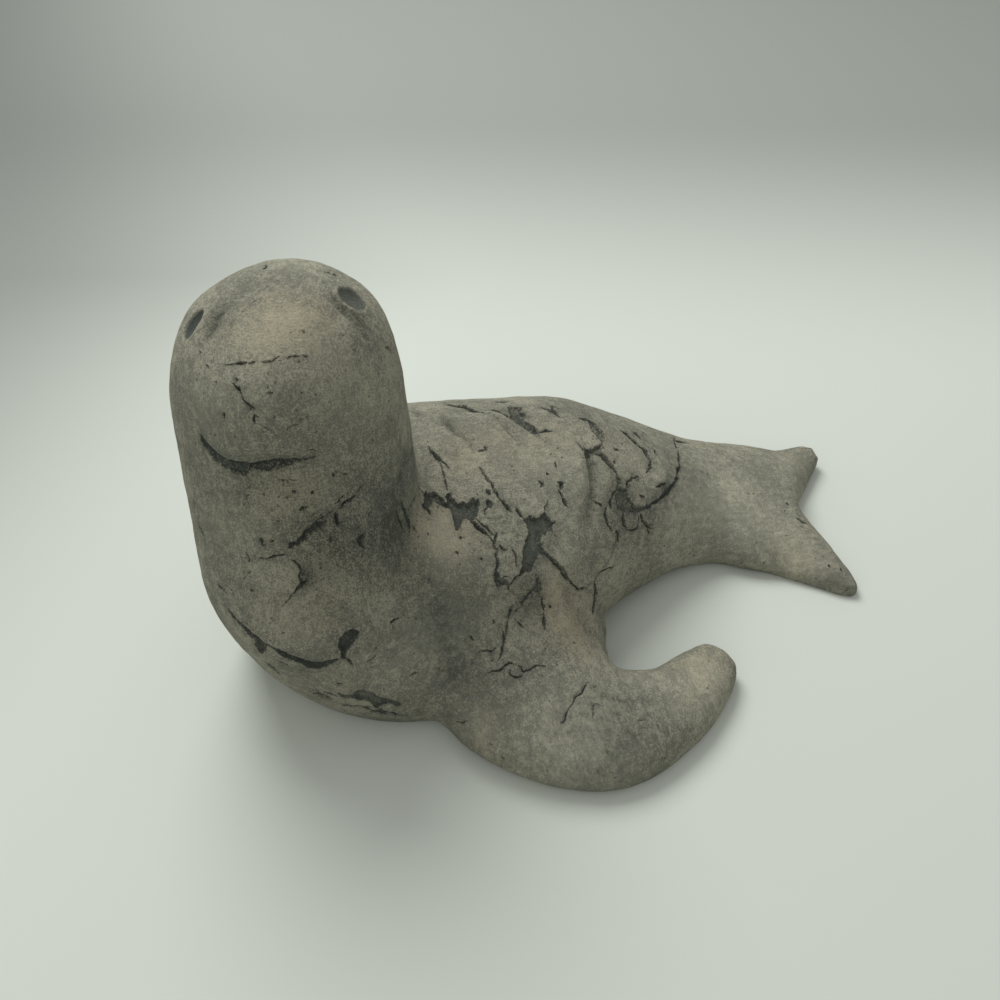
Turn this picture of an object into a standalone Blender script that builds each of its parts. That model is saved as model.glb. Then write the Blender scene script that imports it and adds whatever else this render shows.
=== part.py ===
"""A seal modelled by hand from one lump of clay: a thick upright neck and head turned to
the seal's own left, a low trunk lying behind it, two front flippers and a forked tail.

The tail points along +Y, the seal's left side is +X and the belly rests on the floor, z = 0.
Sizes are in millimetres and are turned into metres once, where a mesh is made. The rows of
each shape hold shares of the sizes named above them, so a changed size carries its shape,
and every crack, pocket and eye is laid on the finished skin.
"""

import math
import random

import bmesh
import bpy
import numpy as np
from mathutils import Matrix, Vector
from mathutils.bvhtree import BVHTree

MM = 0.001
NODE = "seal_figurine"
CLAY = "smoke_stained_stoneware"
CLAY_COLOUR = (0.19, 0.19, 0.148, 1.0)
CLAY_ROUGHNESS = 0.93

# The upright part: floor to crown, then the widths of head and chest.
CROWN_HEIGHT = 124.0
HEAD_WIDTH = 58.0
CHEST_WIDTH = 84.0

# The lying part: neck to tail tips, the width over the shoulders, the height of the back.
BODY_REACH = 189.0
SHOULDER_WIDTH = 100.0
BACK_HEIGHT = 60.0

# The limbs: how far each front flipper reaches out from the middle, the breadth at its
# root, the spread of the tail's flukes and the breadth at their root.
LEFT_REACH = 74.0
RIGHT_REACH = 62.0
FLIPPER_BREADTH = 66.0
FLUKE_SPREAD = 62.0
FLUKE_BREADTH = 44.0

# Degrees round from straight ahead, towards the seal's left, that the head faces.
FACE_TURN = 68.0

# Eyes: pressed in with a round tip. The mouth and the grooves beside the muzzle are cuts.
EYE_WIDTH = 7.2
EYE_DEPTH = 1.5
MOUTH_WIDTH = 3.0
MOUTH_DEPTH = 3.2
GROOVE_WIDTH = 4.6
GROOVE_DEPTH = 1.0

# Torn cracks: the mouth of a plain one at the skin and how deep it runs.
CRACK_WIDTH = 1.5
CRACK_DEPTH = 2.0
CRACK_STEP = 3.0
CRACK_JAG = 0.45
POCKET_DEPTH = 1.8
HOLE_WIDTH = 3.4
HOLE_LENGTH = 7.6
HOLE_DEPTH = 3.0
CUT_LIFT = 1.2

# How the shapes are fused and how far the clay is drawn smooth over the joins.
RING_POINTS = 40
RINGS_PER_ROW = 6
FUSE_VOXEL = 2.0
SMOOTH_ROUNDS = 14
KEPT_SHARE = 0.105

# Level rings of the chest: height as a share of CROWN_HEIGHT, then in shares of CHEST_WIDTH
# the centre x and y, the half width, the reach in front and the reach behind, and last the
# degrees that the ring faces round.
CHEST = [
    (-0.05, 0.17, 0.25, 0.43, 0.32, 0.40, 46),
    (0.03, 0.195, 0.25, 0.52, 0.40, 0.48, 48),
    (0.16, 0.205, 0.205, 0.49, 0.44, 0.50, 54),
    (0.34, 0.17, 0.08, 0.375, 0.445, 0.45, 60),
]

# The neck and head in the same terms, in shares of HEAD_WIDTH.
HEAD = [
    (0.525, 0.19, 0.09, 0.535, 0.55, 0.585, 66),
    (0.685, 0.155, 0.09, 0.52, 0.52, 0.52, 68),
    (0.805, 0.155, 0.095, 0.50, 0.48, 0.48, 68),
    (0.905, 0.155, 0.11, 0.43, 0.415, 0.415, 68),
    (0.968, 0.155, 0.12, 0.29, 0.28, 0.29, 68),
    (1.0, 0.155, 0.12, 0.14, 0.14, 0.155, 68),
]

# The muzzle, the rounded bulge of the face, in the same terms.
MUZZLE = [
    (0.56, 0.21, 0.02, 0.14, 0.14, 0.14, 68),
    (0.64, 0.27, 0.02, 0.29, 0.28, 0.24, 68),
    (0.73, 0.31, 0.02, 0.36, 0.33, 0.34, 68),
    (0.80, 0.335, 0.035, 0.365, 0.34, 0.34, 68),
    (0.87, 0.34, 0.05, 0.33, 0.33, 0.31, 68),
    (0.935, 0.31, 0.07, 0.26, 0.245, 0.21, 68),
    (0.975, 0.29, 0.07, 0.14, 0.14, 0.14, 68),
]

# Upright rings of the trunk: centre x as a share of SHOULDER_WIDTH, y as one of BODY_REACH,
# height of the widest line (BACK_HEIGHT), half width (SHOULDER_WIDTH), then the rise above
# that line and the depth below it (BACK_HEIGHT).
TRUNK = [
    (0.08, -0.03, 0.33, 0.28, 0.47, 0.43),
    (0.02, 0.085, 0.33, 0.48, 0.62, 0.43),
    (-0.01, 0.24, 0.30, 0.51, 0.67, 0.40),
    (-0.04, 0.37, 0.25, 0.46, 0.67, 0.35),
    (-0.07, 0.49, 0.20, 0.39, 0.66, 0.30),
    (-0.08, 0.615, 0.13, 0.305, 0.50, 0.23),
    (-0.06, 0.73, 0.08, 0.275, 0.30, 0.18),
    (0.0, 0.82, 0.07, 0.30, 0.20, 0.17),
    (0.07, 0.89, 0.07, 0.28, 0.13, 0.15),
]

# The left flipper in the same terms, from the shoulder out to its round tip: x in shares of
# LEFT_REACH and half width in shares of FLIPPER_BREADTH.
LEFT_FLIPPER = [
    (0.16, 0.21, 0.17, 0.455, 0.57, 0.27),
    (0.455, 0.284, 0.12, 0.485, 0.43, 0.22),
    (0.75, 0.312, 0.08, 0.42, 0.30, 0.18),
    (0.955, 0.39, 0.07, 0.335, 0.20, 0.17),
    (0.957, 0.49, 0.07, 0.215, 0.15, 0.17),
    (0.865, 0.562, 0.07, 0.16, 0.12, 0.17),
    (0.79, 0.608, 0.07, 0.11, 0.09, 0.15),
]

# The right flipper lies closer along the body, in shares of RIGHT_REACH.
RIGHT_FLIPPER = [
    (-0.22, 0.18, 0.17, 0.425, 0.53, 0.27),
    (-0.55, 0.235, 0.12, 0.425, 0.37, 0.22),
    (-0.81, 0.295, 0.08, 0.35, 0.25, 0.18),
    (-0.97, 0.37, 0.07, 0.26, 0.18, 0.17),
    (-1.0, 0.445, 0.07, 0.195, 0.15, 0.17),
    (-0.935, 0.51, 0.07, 0.105, 0.10, 0.15),
]

# The two flukes, with x in shares of FLUKE_SPREAD and half width in ones of FLUKE_BREADTH.
NEAR_FLUKE = [
    (-0.03, 0.772, 0.07, 0.50, 0.20, 0.17),
    (0.23, 0.82, 0.06, 0.385, 0.12, 0.15),
    (0.47, 0.862, 0.05, 0.24, 0.07, 0.12),
    (0.68, 0.894, 0.045, 0.09, 0.05, 0.10),
]
FAR_FLUKE = [
    (-0.03, 0.772, 0.07, 0.50, 0.20, 0.17),
    (-0.145, 0.862, 0.06, 0.36, 0.105, 0.15),
    (-0.24, 0.936, 0.06, 0.23, 0.085, 0.13),
    (-0.32, 1.0, 0.065, 0.10, 0.07, 0.13),
]

# Features of the face: degrees round from the way it faces, degrees above the head's middle.
HEAD_MIDDLE = 0.78
LEFT_EYE = (92, 49)
RIGHT_EYE = (-69, 42)
LEFT_GROOVE = [(86, 62), (80, 49), (70, 33)]
RIGHT_GROOVE = [(-56, 62), (-48, 53), (-44, 42)]
MOUTH = [(-32, -1), (-24, -7), (-13, -10), (2, -10), (14, -9), (26, -10)]
FACE_CRACKS = [
    (0.6, [(-24, 38), (-4, 41), (14, 41), (36, 40)]),
    (0.8, [(-10, 30), (-3, 24), (1, 17), (10, 10)]),
]

# Cracks of the neck and chest: width in shares of CRACK_WIDTH, then points as degrees round
# from straight ahead and height in hundredths of CROWN_HEIGHT.
CHEST_CRACKS = [
    (1.1, [(74, 53), (79, 56), (86, 59), (94, 59)]),
    (1.0, [(99, 56), (101, 60), (109, 63), (116, 65)]),
    (0.7, [(58, 52), (65, 51), (73, 53)]),
    (0.8, [(114, 54), (109, 51)]),
    (1.0, [(110, 44), (106, 37)]),
    (0.6, [(20, 58), (26, 51)]),
    (2.0, [(43, 38), (53, 36), (64, 32), (77, 29), (90, 28)]),
    (2.0, [(86, 16), (94, 17), (101, 13), (109, 12)]),
    (1.0, [(75, 12), (84, 13)]),
    (0.8, [(59, 26), (64, 19)]),
    (1.0, [(93, 8), (102, 6), (110, 5)]),
]
CHEST_POCKET = [(74, 52), (79, 49), (77, 44), (83, 45), (88, 51)]
CHEST_HOLE = (95, 31)

# Cracks of the back, flank and left flipper as seen from above: width in shares of
# CRACK_WIDTH, then points as x in hundredths of SHOULDER_WIDTH, y in ones of BODY_REACH.
BACK_CRACKS = [
    (2.0, [(21, 19), (22, 22), (25, 25), (22, 27.5)]),
    (1.2, [(28, 25), (32, 27), (35, 28.5)]),
    (1.4, [(3, 22), (9, 24), (19, 23)]),
    (1.5, [(14, 29), (22, 30), (26, 32.5), (28, 36), (23, 38)]),
    (1.7, [(36, 36), (39, 40.5), (34, 46), (27, 49.5)]),
    (1.0, [(37, 43.5), (43, 42.5)]),
    (1.5, [(37, 27), (42, 27.5), (39, 31.5)]),
    (1.7, [(39, 33.5), (45, 30.5), (49, 27), (56, 24.5)]),
    (1.0, [(42, 34), (49, 33)]),
    (1.1, [(57, 22.5), (56, 26), (59, 29), (59, 32)]),
    (0.9, [(64, 37.5), (68, 35), (75, 31.5)]),
    (1.1, [(-25, 26), (-13, 31.5), (-5, 35), (4, 36)]),
    (1.2, [(-24, 33), (-10, 36), (2, 41)]),
    (1.0, [(-22, 43), (-10, 46.5)]),
    (1.0, [(-18, 25), (-2, 27.5)]),
    (1.0, [(3, 46), (12, 46.5), (20, 45.5)]),
    (1.1, [(4, 49), (12, 52), (18, 51)]),
    (2.0, [(-19, 70), (-4, 67), (7, 64), (17, 56), (21, 52)]),
    (1.4, [(-16, 57), (-3, 60.5), (6, 58.5), (15, 53)]),
    (0.9, [(21, 54), (21, 58)]),
    (1.2, [(22, 47.5), (29, 49.5)]),
]
BACK_POCKETS = [
    [(28, 33.5), (28, 37.5), (33, 36), (38, 36.5), (38, 31.5), (32, 33)],
    [(-17, 38), (-10, 38), (-3, 40.5), (-9, 40.5)],
    [(-12, 50), (-6, 51), (2, 50), (-2, 53), (-8, 52.5)],
    [(17, 50.5), (16, 52.5), (20, 53.5), (23, 51.5)],
]


def clear_scene():
    for thing in list(bpy.data.objects):
        bpy.data.objects.remove(thing, do_unlink=True)


def clay_material():
    clay = bpy.data.materials.new(CLAY)
    clay.use_nodes = True
    shader = clay.node_tree.nodes["Principled BSDF"]
    shader.inputs["Base Color"].default_value = CLAY_COLOUR
    shader.inputs["Roughness"].default_value = CLAY_ROUGHNESS
    shader.inputs["Metallic"].default_value = 0.0
    clay.diffuse_color = CLAY_COLOUR
    return clay


def curve_rows(rows, count):
    """The rows of numbers as one smooth Catmull-Rom run of `count` rows."""
    given = np.array(rows, float)
    last = len(given) - 1
    place = np.linspace(0, last, count)
    low = np.clip(place.astype(int), 0, last - 1)
    part = (place - low)[:, None]
    padded = np.vstack([2 * given[0] - given[1], given, 2 * given[-1] - given[-2]])
    before, start, end, after = (padded[low + step] for step in range(4))
    linear = end - before
    square = 2 * before - 5 * start + 4 * end - after
    cube = 3 * start - before - 3 * end + after
    return 0.5 * (2 * start + linear * part + square * part**2 + cube * part**3)


def scaled(rows, *sizes):
    return np.array(rows, float) * np.array(sizes, float)


def heading(degrees):
    """The level direction this many degrees round from straight ahead, towards +X."""
    turn = math.radians(degrees)
    return np.array([math.sin(turn), -math.cos(turn), 0.0])


def level_rings(rows):
    """Rings lying level one above another, each facing its own way."""
    angle = np.linspace(0, 2 * math.pi, RING_POINTS, endpoint=False)[:, None]
    rings = []
    for z, x, y, half_width, front, back, turn in curve_rows(rows, RINGS_PER_ROW * len(rows)):
        across = half_width * np.cos(angle) * heading(turn + 90)
        reach = np.where(np.sin(angle) > 0, front, back)
        rings.append(np.array([x, y, z]) + across + reach * np.sin(angle) * heading(turn))
    return np.array(rings)


def upright_rings(rows):
    """Rings standing upright across the way that their centres run."""
    angle = np.linspace(0, 2 * math.pi, RING_POINTS, endpoint=False)[:, None]
    run = curve_rows(rows, RINGS_PER_ROW * len(rows))
    way = np.gradient(run[:, :2], axis=0)
    way /= np.linalg.norm(way, axis=1)[:, None]
    up = np.array([0.0, 0.0, 1.0])
    rings = []
    for (x, y, z, half_width, rise, depth), (dx, dy) in zip(run, way):
        across = half_width * np.cos(angle) * np.array([dy, -dx, 0.0])
        height = np.where(np.sin(angle) > 0, rise, depth) * np.sin(angle)
        rings.append(np.array([x, y, z]) + across + height * up)
    return np.array(rings)


def add_shell(mesh, rings):
    """A closed skin over the rings, with a flat cap at each end."""
    made = [[mesh.verts.new(Vector(point) * MM) for point in ring] for ring in rings]
    faces = [mesh.faces.new(made[0][::-1]), mesh.faces.new(made[-1])]
    for first, second in zip(made, made[1:]):
        for i, corner in enumerate(first):
            after = (i + 1) % len(first)
            faces.append(mesh.faces.new((corner, first[after], second[after], second[i])))
    bmesh.ops.recalc_face_normals(mesh, faces=faces)


def object_from(name, mesh, collection=None):
    data = bpy.data.meshes.new(name)
    mesh.to_mesh(data)
    mesh.free()
    made = bpy.data.objects.new(name, data)
    (collection or bpy.context.scene.collection).objects.link(made)
    return made


def as_cutter(thing):
    thing.hide_render = True
    thing.display_type = "WIRE"
    return thing


def floor_cutter():
    """Everything below the floor, so that belly, flippers and tail rest on one flat face."""
    mesh = bmesh.new()
    side = 4 * BODY_REACH * MM
    bmesh.ops.create_cube(mesh, size=side, matrix=Matrix.Translation((0, 0, -side / 2)))
    return as_cutter(object_from("under_floor", mesh))


def fused_lump():
    """All the shapes pressed into one lump, with the clay drawn smooth over the joins."""
    chest = scaled(CHEST, CROWN_HEIGHT, *[CHEST_WIDTH] * 5, 1)
    head = scaled(HEAD, CROWN_HEIGHT, *[HEAD_WIDTH] * 5, 1)
    muzzle = scaled(MUZZLE, CROWN_HEIGHT, *[HEAD_WIDTH] * 5, 1)
    mesh = bmesh.new()
    add_shell(mesh, level_rings(np.vstack([chest, head])))
    add_shell(mesh, level_rings(muzzle))
    for rows, reach, breadth in (
        (TRUNK, SHOULDER_WIDTH, SHOULDER_WIDTH),
        (LEFT_FLIPPER, LEFT_REACH, FLIPPER_BREADTH),
        (RIGHT_FLIPPER, RIGHT_REACH, FLIPPER_BREADTH),
        (NEAR_FLUKE, FLUKE_SPREAD, FLUKE_BREADTH),
        (FAR_FLUKE, FLUKE_SPREAD, FLUKE_BREADTH),
    ):
        sizes = (reach, BODY_REACH, BACK_HEIGHT, breadth, BACK_HEIGHT, BACK_HEIGHT)
        add_shell(mesh, upright_rings(scaled(rows, *sizes)))
    lump = object_from(NODE, mesh)
    lump.data.materials.append(clay_material())
    fuse = lump.modifiers.new("fuse", "REMESH")
    fuse.mode = "VOXEL"
    fuse.voxel_size = FUSE_VOXEL * MM
    fuse.use_smooth_shade = True
    smooth = lump.modifiers.new("smooth", "SMOOTH")
    smooth.factor = 0.5
    smooth.iterations = round(SMOOTH_ROUNDS)
    thin = lump.modifiers.new("thin", "DECIMATE")
    thin.ratio = KEPT_SHARE
    floor = lump.modifiers.new("floor", "BOOLEAN")
    floor.operation = "DIFFERENCE"
    floor.solver = "EXACT"
    floor.object = floor_cutter()
    return lump


def skin_of(lump):
    return BVHTree.FromObject(lump, bpy.context.evaluated_depsgraph_get())


def struck(skin, start, way):
    """Where a line from `start` (millimetres) first meets the skin, and the way out there."""
    spot, out, _, _ = skin.ray_cast(Vector(start) * MM, Vector(way))
    return np.array(spot) / MM, np.array(out)


def on_face(skin, round_face, rise):
    """A point of the head, by degrees round from the way it faces and degrees up."""
    level = heading(FACE_TURN + round_face) * math.cos(math.radians(rise))
    out = level + np.array([0.0, 0.0, math.sin(math.radians(rise))])
    middle = np.array([HEAD[1][1], HEAD[1][2], 0.0]) * HEAD_WIDTH
    middle[2] = HEAD_MIDDLE * CROWN_HEIGHT
    return struck(skin, middle + 2 * HEAD_WIDTH * out, -out)


def on_chest(skin, degrees, height):
    """A point of the neck or chest, by degrees round and hundredths of its height."""
    middle = np.array([HEAD[0][1], HEAD[0][2], 0.0]) * HEAD_WIDTH
    middle[2] = height / 100 * CROWN_HEIGHT
    return struck(skin, middle + 2 * CHEST_WIDTH * heading(degrees), -heading(degrees))


def on_back(skin, across, along):
    """A point of the back or a limb as seen from above."""
    start = (across / 100 * SHOULDER_WIDTH, along / 100 * BODY_REACH, 2 * CROWN_HEIGHT)
    return struck(skin, start, (0, 0, -1))


def laid_line(skin, place, points):
    """The line through the points at even steps over the skin, with the ways out."""
    corners = np.array([place(skin, *point)[0] for point in points])
    length = np.linalg.norm(np.diff(corners, axis=0), axis=1).sum()
    count = max(4, round(length / CRACK_STEP) + 1)
    laid = [place(skin, *point) for point in curve_rows(points, count)]
    spots = np.array([spot for spot, _ in laid])
    outs = np.array([out for _, out in laid])
    outs[1:-1] += outs[:-2] + outs[2:]
    return spots, outs / np.linalg.norm(outs, axis=1)[:, None]


def add_wedge(mesh, spots, outs, width, depth, jag, chance):
    """A V-shaped cut along a line: wide at the skin, sharp below, running out at both ends."""
    way = np.gradient(spots, axis=0)
    sides = np.cross(outs, way)
    sides /= np.linalg.norm(sides, axis=1)[:, None]
    rows = []
    for i, (spot, out, side) in enumerate(zip(spots, outs, sides)):
        share = math.sin(math.pi * (i + 0.25) / (len(spots) - 0.5)) ** 0.6
        half = 0.5 * width * share * chance.uniform(1 - jag, 1 + jag)
        sink = depth * (0.35 + 0.65 * share)
        flare = half * (1 + CUT_LIFT / sink)
        shift = jag * width * chance.uniform(-1, 1) * share
        middle = spot + side * shift
        corners = (middle + out * CUT_LIFT + side * flare, middle - out * sink)
        corners += (middle + out * CUT_LIFT - side * flare,)
        rows.append([mesh.verts.new(Vector(corner) * MM) for corner in corners])
    faces = [mesh.faces.new(rows[0]), mesh.faces.new(rows[-1][::-1])]
    for first, second in zip(rows, rows[1:]):
        for i in range(3):
            after = (i + 1) % 3
            faces.append(mesh.faces.new((first[i], second[i], second[after], first[after])))
    close_cut(mesh, faces)


def add_pocket(mesh, spots, outs, depth):
    """A torn-out hollow: its outline on the skin, narrowing to a flat floor."""
    centre = spots.mean(axis=0)
    out = outs.sum(axis=0)
    out /= np.linalg.norm(out)
    top = [mesh.verts.new(Vector(spot + out * CUT_LIFT * 1.6) * MM) for spot in spots]
    floor = [
        mesh.verts.new(Vector(centre + (spot - centre) * 0.75 - out * depth) * MM)
        for spot in spots
    ]
    faces = [mesh.faces.new(top), mesh.faces.new(floor[::-1])]
    for i, corner in enumerate(top):
        after = (i + 1) % len(top)
        faces.append(mesh.faces.new((corner, floor[i], floor[after], top[after])))
    close_cut(mesh, faces)


def add_dimple(mesh, spot, out, width, length, depth, along):
    """A round or oval dent pressed in along the way in, from a ball of the right size."""
    ball = (width * width / 4 + depth * depth) / (2 * depth)
    axis = Vector(out).normalized()
    long_axis = Vector(along)
    long_axis = (long_axis - axis * long_axis.dot(axis)).normalized()
    turn = Matrix((long_axis.cross(axis), long_axis, axis)).transposed().to_4x4()
    stretch = Matrix.Diagonal((1.0, length / width, 1.0, 1.0))
    centre = Vector(spot + out * (ball - depth)) * MM
    matrix = Matrix.Translation(centre) @ turn @ stretch
    bmesh.ops.create_uvsphere(
        mesh, u_segments=16, v_segments=12, radius=ball * MM, matrix=matrix
    )


def close_cut(mesh, faces):
    bmesh.ops.triangulate(mesh, faces=faces)
    bmesh.ops.recalc_face_normals(mesh, faces=mesh.faces[:])


def eye_cutters(skin, cuts):
    """The two pressed-in eyes and the shallow groove between each and the muzzle."""
    chance = random.Random(3)
    for name, eye, groove in (
        ("left", LEFT_EYE, LEFT_GROOVE),
        ("right", RIGHT_EYE, RIGHT_GROOVE),
    ):
        mesh = bmesh.new()
        spot, out = on_face(skin, *eye)
        start, _ = on_face(skin, *groove[0])
        end, _ = on_face(skin, *groove[-1])
        add_dimple(mesh, spot, out, EYE_WIDTH, EYE_WIDTH * 1.2, EYE_DEPTH, end - start)
        as_cutter(object_from(name + "_eye_cut", mesh, cuts))
        mesh = bmesh.new()
        spots, outs = laid_line(skin, on_face, groove)
        add_wedge(mesh, spots, outs, GROOVE_WIDTH, GROOVE_DEPTH, 0.05, chance)
        as_cutter(object_from(name + "_groove_cut", mesh, cuts))


def mouth_cutter(skin, cuts):
    """The fold of the mouth, a smiling cut under the muzzle."""
    mesh = bmesh.new()
    spots, outs = laid_line(skin, on_face, MOUTH)
    inward_up = outs + np.array([0.0, 0.0, -0.5])
    inward_up /= np.linalg.norm(inward_up, axis=1)[:, None]
    add_wedge(mesh, spots, inward_up, MOUTH_WIDTH, MOUTH_DEPTH, 0.08, random.Random(5))
    as_cutter(object_from("mouth_cut", mesh, cuts))


def crack_cutters(skin, cuts):
    """The torn cracks of the face, chest and back, each a jagged wedge of its own."""
    chance = random.Random(11)
    groups = (
        ("face", on_face, FACE_CRACKS),
        ("chest", on_chest, CHEST_CRACKS),
        ("back", on_back, BACK_CRACKS),
    )
    for name, place, cracks in groups:
        for number, (share, points) in enumerate(cracks):
            mesh = bmesh.new()
            spots, outs = laid_line(skin, place, points)
            width = CRACK_WIDTH * share
            depth = CRACK_DEPTH * (0.6 + 0.4 * share)
            add_wedge(mesh, spots, outs, width, depth, CRACK_JAG, chance)
            as_cutter(object_from(f"{name}_crack_{number}", mesh, cuts))


def pocket_cutters(skin, cuts):
    """The wider hollows where the skin has torn away, and the oval hole of the chest."""
    outlines = [(on_chest, CHEST_POCKET)] + [(on_back, outline) for outline in BACK_POCKETS]
    for number, (place, outline) in enumerate(outlines):
        laid = [place(skin, *point) for point in outline]
        spots = np.array([spot for spot, _ in laid])
        outs = np.array([out for _, out in laid])
        mesh = bmesh.new()
        add_pocket(mesh, spots, outs, POCKET_DEPTH)
        as_cutter(object_from(f"pocket_{number}", mesh, cuts))
    mesh = bmesh.new()
    spot, out = on_chest(skin, *CHEST_HOLE)
    lean = heading(CHEST_HOLE[0] + 90) * 0.8 + np.array([0.0, 0.0, 1.0])
    add_dimple(mesh, spot, out, HOLE_WIDTH, HOLE_LENGTH, HOLE_DEPTH, lean)
    as_cutter(object_from("chest_hole_cut", mesh, cuts))


def main():
    clear_scene()
    lump = fused_lump()
    bpy.context.view_layer.update()
    skin = skin_of(lump)
    cuts = bpy.data.collections.new("cuts")
    bpy.context.scene.collection.children.link(cuts)
    eye_cutters(skin, cuts)
    mouth_cutter(skin, cuts)
    crack_cutters(skin, cuts)
    pocket_cutters(skin, cuts)
    carve = lump.modifiers.new("carve", "BOOLEAN")
    carve.operation = "DIFFERENCE"
    carve.solver = "EXACT"
    carve.operand_type = "COLLECTION"
    carve.collection = cuts


main()
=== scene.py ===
"""A seal figurine modelled by hand from one lump of smoke-stained stoneware, on a pale floor.

The body is a set of lofted skins (each a function of the way along it and the way round it),
fused into one lump, drawn smooth and cut flat at the floor. Cracks, torn pockets, eyes and the
mouth are then worked into that skin as heights along its own outward direction, and what the
clay's colour needs to know about them is kept in attributes of the mesh.

Sizes in the tables are millimetres, or shares of a named size; the mesh itself is in metres.
The camera stands where the picture was taken from, and what is seen on the near side is placed
by where it lies in that picture, 1000 by 1000, and then belongs to the skin from every side.
"""

import math

import bmesh
import bpy
import numpy as np
from bpy.props import FloatProperty, FloatVectorProperty, PointerProperty
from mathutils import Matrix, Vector
from mathutils.bvhtree import BVHTree


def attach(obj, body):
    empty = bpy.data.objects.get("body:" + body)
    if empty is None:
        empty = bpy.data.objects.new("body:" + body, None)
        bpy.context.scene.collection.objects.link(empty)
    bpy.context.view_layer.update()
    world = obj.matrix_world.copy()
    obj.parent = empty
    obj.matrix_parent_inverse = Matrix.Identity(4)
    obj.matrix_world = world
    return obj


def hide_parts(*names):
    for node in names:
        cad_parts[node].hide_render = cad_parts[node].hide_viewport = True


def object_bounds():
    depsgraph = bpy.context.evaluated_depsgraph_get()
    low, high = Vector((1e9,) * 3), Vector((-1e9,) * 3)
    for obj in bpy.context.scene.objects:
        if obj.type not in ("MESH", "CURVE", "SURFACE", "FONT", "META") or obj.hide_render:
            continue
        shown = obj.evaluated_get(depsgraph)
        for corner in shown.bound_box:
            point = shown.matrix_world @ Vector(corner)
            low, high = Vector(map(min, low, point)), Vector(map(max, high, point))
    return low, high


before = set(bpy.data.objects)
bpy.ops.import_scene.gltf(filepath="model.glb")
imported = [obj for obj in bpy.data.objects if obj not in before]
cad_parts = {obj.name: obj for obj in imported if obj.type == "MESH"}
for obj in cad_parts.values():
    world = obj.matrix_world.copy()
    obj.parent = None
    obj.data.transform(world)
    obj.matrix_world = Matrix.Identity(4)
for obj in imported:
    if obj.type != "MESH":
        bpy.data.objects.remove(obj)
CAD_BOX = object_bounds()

bl_info = {
    "name": "Seal figurine",
    "version": (1, 0, 0),
    "blender": (4, 5, 0),
    "location": "3D View > Sidebar > Seal",
    "description": "Makes a hand-modelled stoneware seal and the plain stage it rests on",
    "category": "Add Mesh",
}

MM = 0.001
NODE = "seal_figurine"

# The camera: where it stands in metres, the way it looks in degrees, and how many
# thousandths of the picture's width one unit of slope covers.
EYE = (0.2426, -0.0097, 0.2591)
AZIMUTH = 73.0
ELEVATION = 42.0
PICTURE = 1000.0
FOCUS = 1100.0
SENSOR = 36.0

# How the skins are laid out and fused: points round a ring, rings made from each row, the
# fusing grid and how far the clay is drawn smooth over the joins, in mm.
RING_POINTS = 48
RINGS_PER_ROW = 8
FUSE_VOXEL = 1.6
SMOOTH_REACH = 7.4

# How near the drawn lines (mm) each round of splitting makes the mesh finer: the first two
# rounds go round the pockets and eyes too, the last only along the cracks.
SPLIT_REACHES = (2.4, 1.1)
LAST_SPLIT = 0.45
# Steps along drawn lines and round the outlines of pockets, in thousandths of the picture.
LINE_STEP = 0.5
OUTLINE_STEP = 1.6

# The worked skin, in mm: what a tear's distance reads where none is near, how far the whole
# skin is drawn in so that its bumps stay inside the part, how high above the floor the
# relief has its full height, and the least gap to the floor and to the part's own box.
NO_TEAR = 6.0
DRAWN_IN = 0.25
FOOT_HEIGHT = 1.6
FLOOR_GAP = 0.02
BOX_GAP = 0.01
# Edges that turn by more than this many radians stay sharp: the rim at the floor.
SHARP_TURN = 0.9
# How coarse the clay is where nothing else is said.
USUAL_COARSE = 0.75

# The lamps: place, what each is aimed at and how wide it is, in metres.
OVERHEAD = ((-0.58, -0.06, 0.84), (0.0, 0.06, 0.0), 0.6)
WINDOW = ((0.71, -0.74, 0.5), (0.0, 0.06, 0.05), 1.0)
# The floor: half its side, how many cells it has each way, how far it lies below the seal, all
# in metres, and where its painted light changes: how far off it turns grey with a painted
# fall-off of the light, the depth round which the painted shadow on its left is darkest, how
# fast that bends with depth, and where it starts and ends.
FLOOR_SIDE = 3.0
FLOOR_CELLS = 12
FLOOR_DROP = 0.0002
FAR_FROM, FAR_TO = 0.115, 0.385
DIM_DEPTH, DIM_BEND = 0.205, 0.45
DIM_FROM, DIM_TO, DIM_MOST = 0.06, -0.19, 0.7

# Level rings of the chest: height as a share of the crown's height, then in shares of the
# chest's width the centre x and y, half width, reach in front and behind; last the degrees
# that the ring faces round.
CHEST = [
    (-0.05, 0.17, 0.25, 0.43, 0.32, 0.40, 46),
    (0.03, 0.195, 0.25, 0.52, 0.40, 0.48, 48),
    (0.16, 0.205, 0.205, 0.49, 0.44, 0.50, 54),
    (0.34, 0.17, 0.08, 0.375, 0.445, 0.45, 60),
]
# The neck and head, and the bulge of the muzzle, in the same terms of the head's width.
HEAD = [
    (0.525, 0.19, 0.09, 0.535, 0.55, 0.585, 66),
    (0.685, 0.155, 0.09, 0.52, 0.52, 0.52, 68),
    (0.805, 0.155, 0.095, 0.50, 0.48, 0.48, 68),
    (0.905, 0.155, 0.11, 0.43, 0.415, 0.415, 68),
    (0.968, 0.155, 0.12, 0.29, 0.28, 0.29, 68),
    (1.0, 0.155, 0.12, 0.14, 0.14, 0.155, 68),
]
MUZZLE = [
    (0.56, 0.21, 0.02, 0.14, 0.14, 0.14, 68),
    (0.64, 0.27, 0.02, 0.29, 0.28, 0.24, 68),
    (0.73, 0.31, 0.02, 0.36, 0.33, 0.34, 68),
    (0.80, 0.335, 0.035, 0.365, 0.34, 0.34, 68),
    (0.87, 0.34, 0.05, 0.33, 0.33, 0.31, 68),
    (0.935, 0.31, 0.07, 0.26, 0.245, 0.21, 68),
    (0.975, 0.29, 0.07, 0.14, 0.14, 0.14, 68),
]
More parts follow.
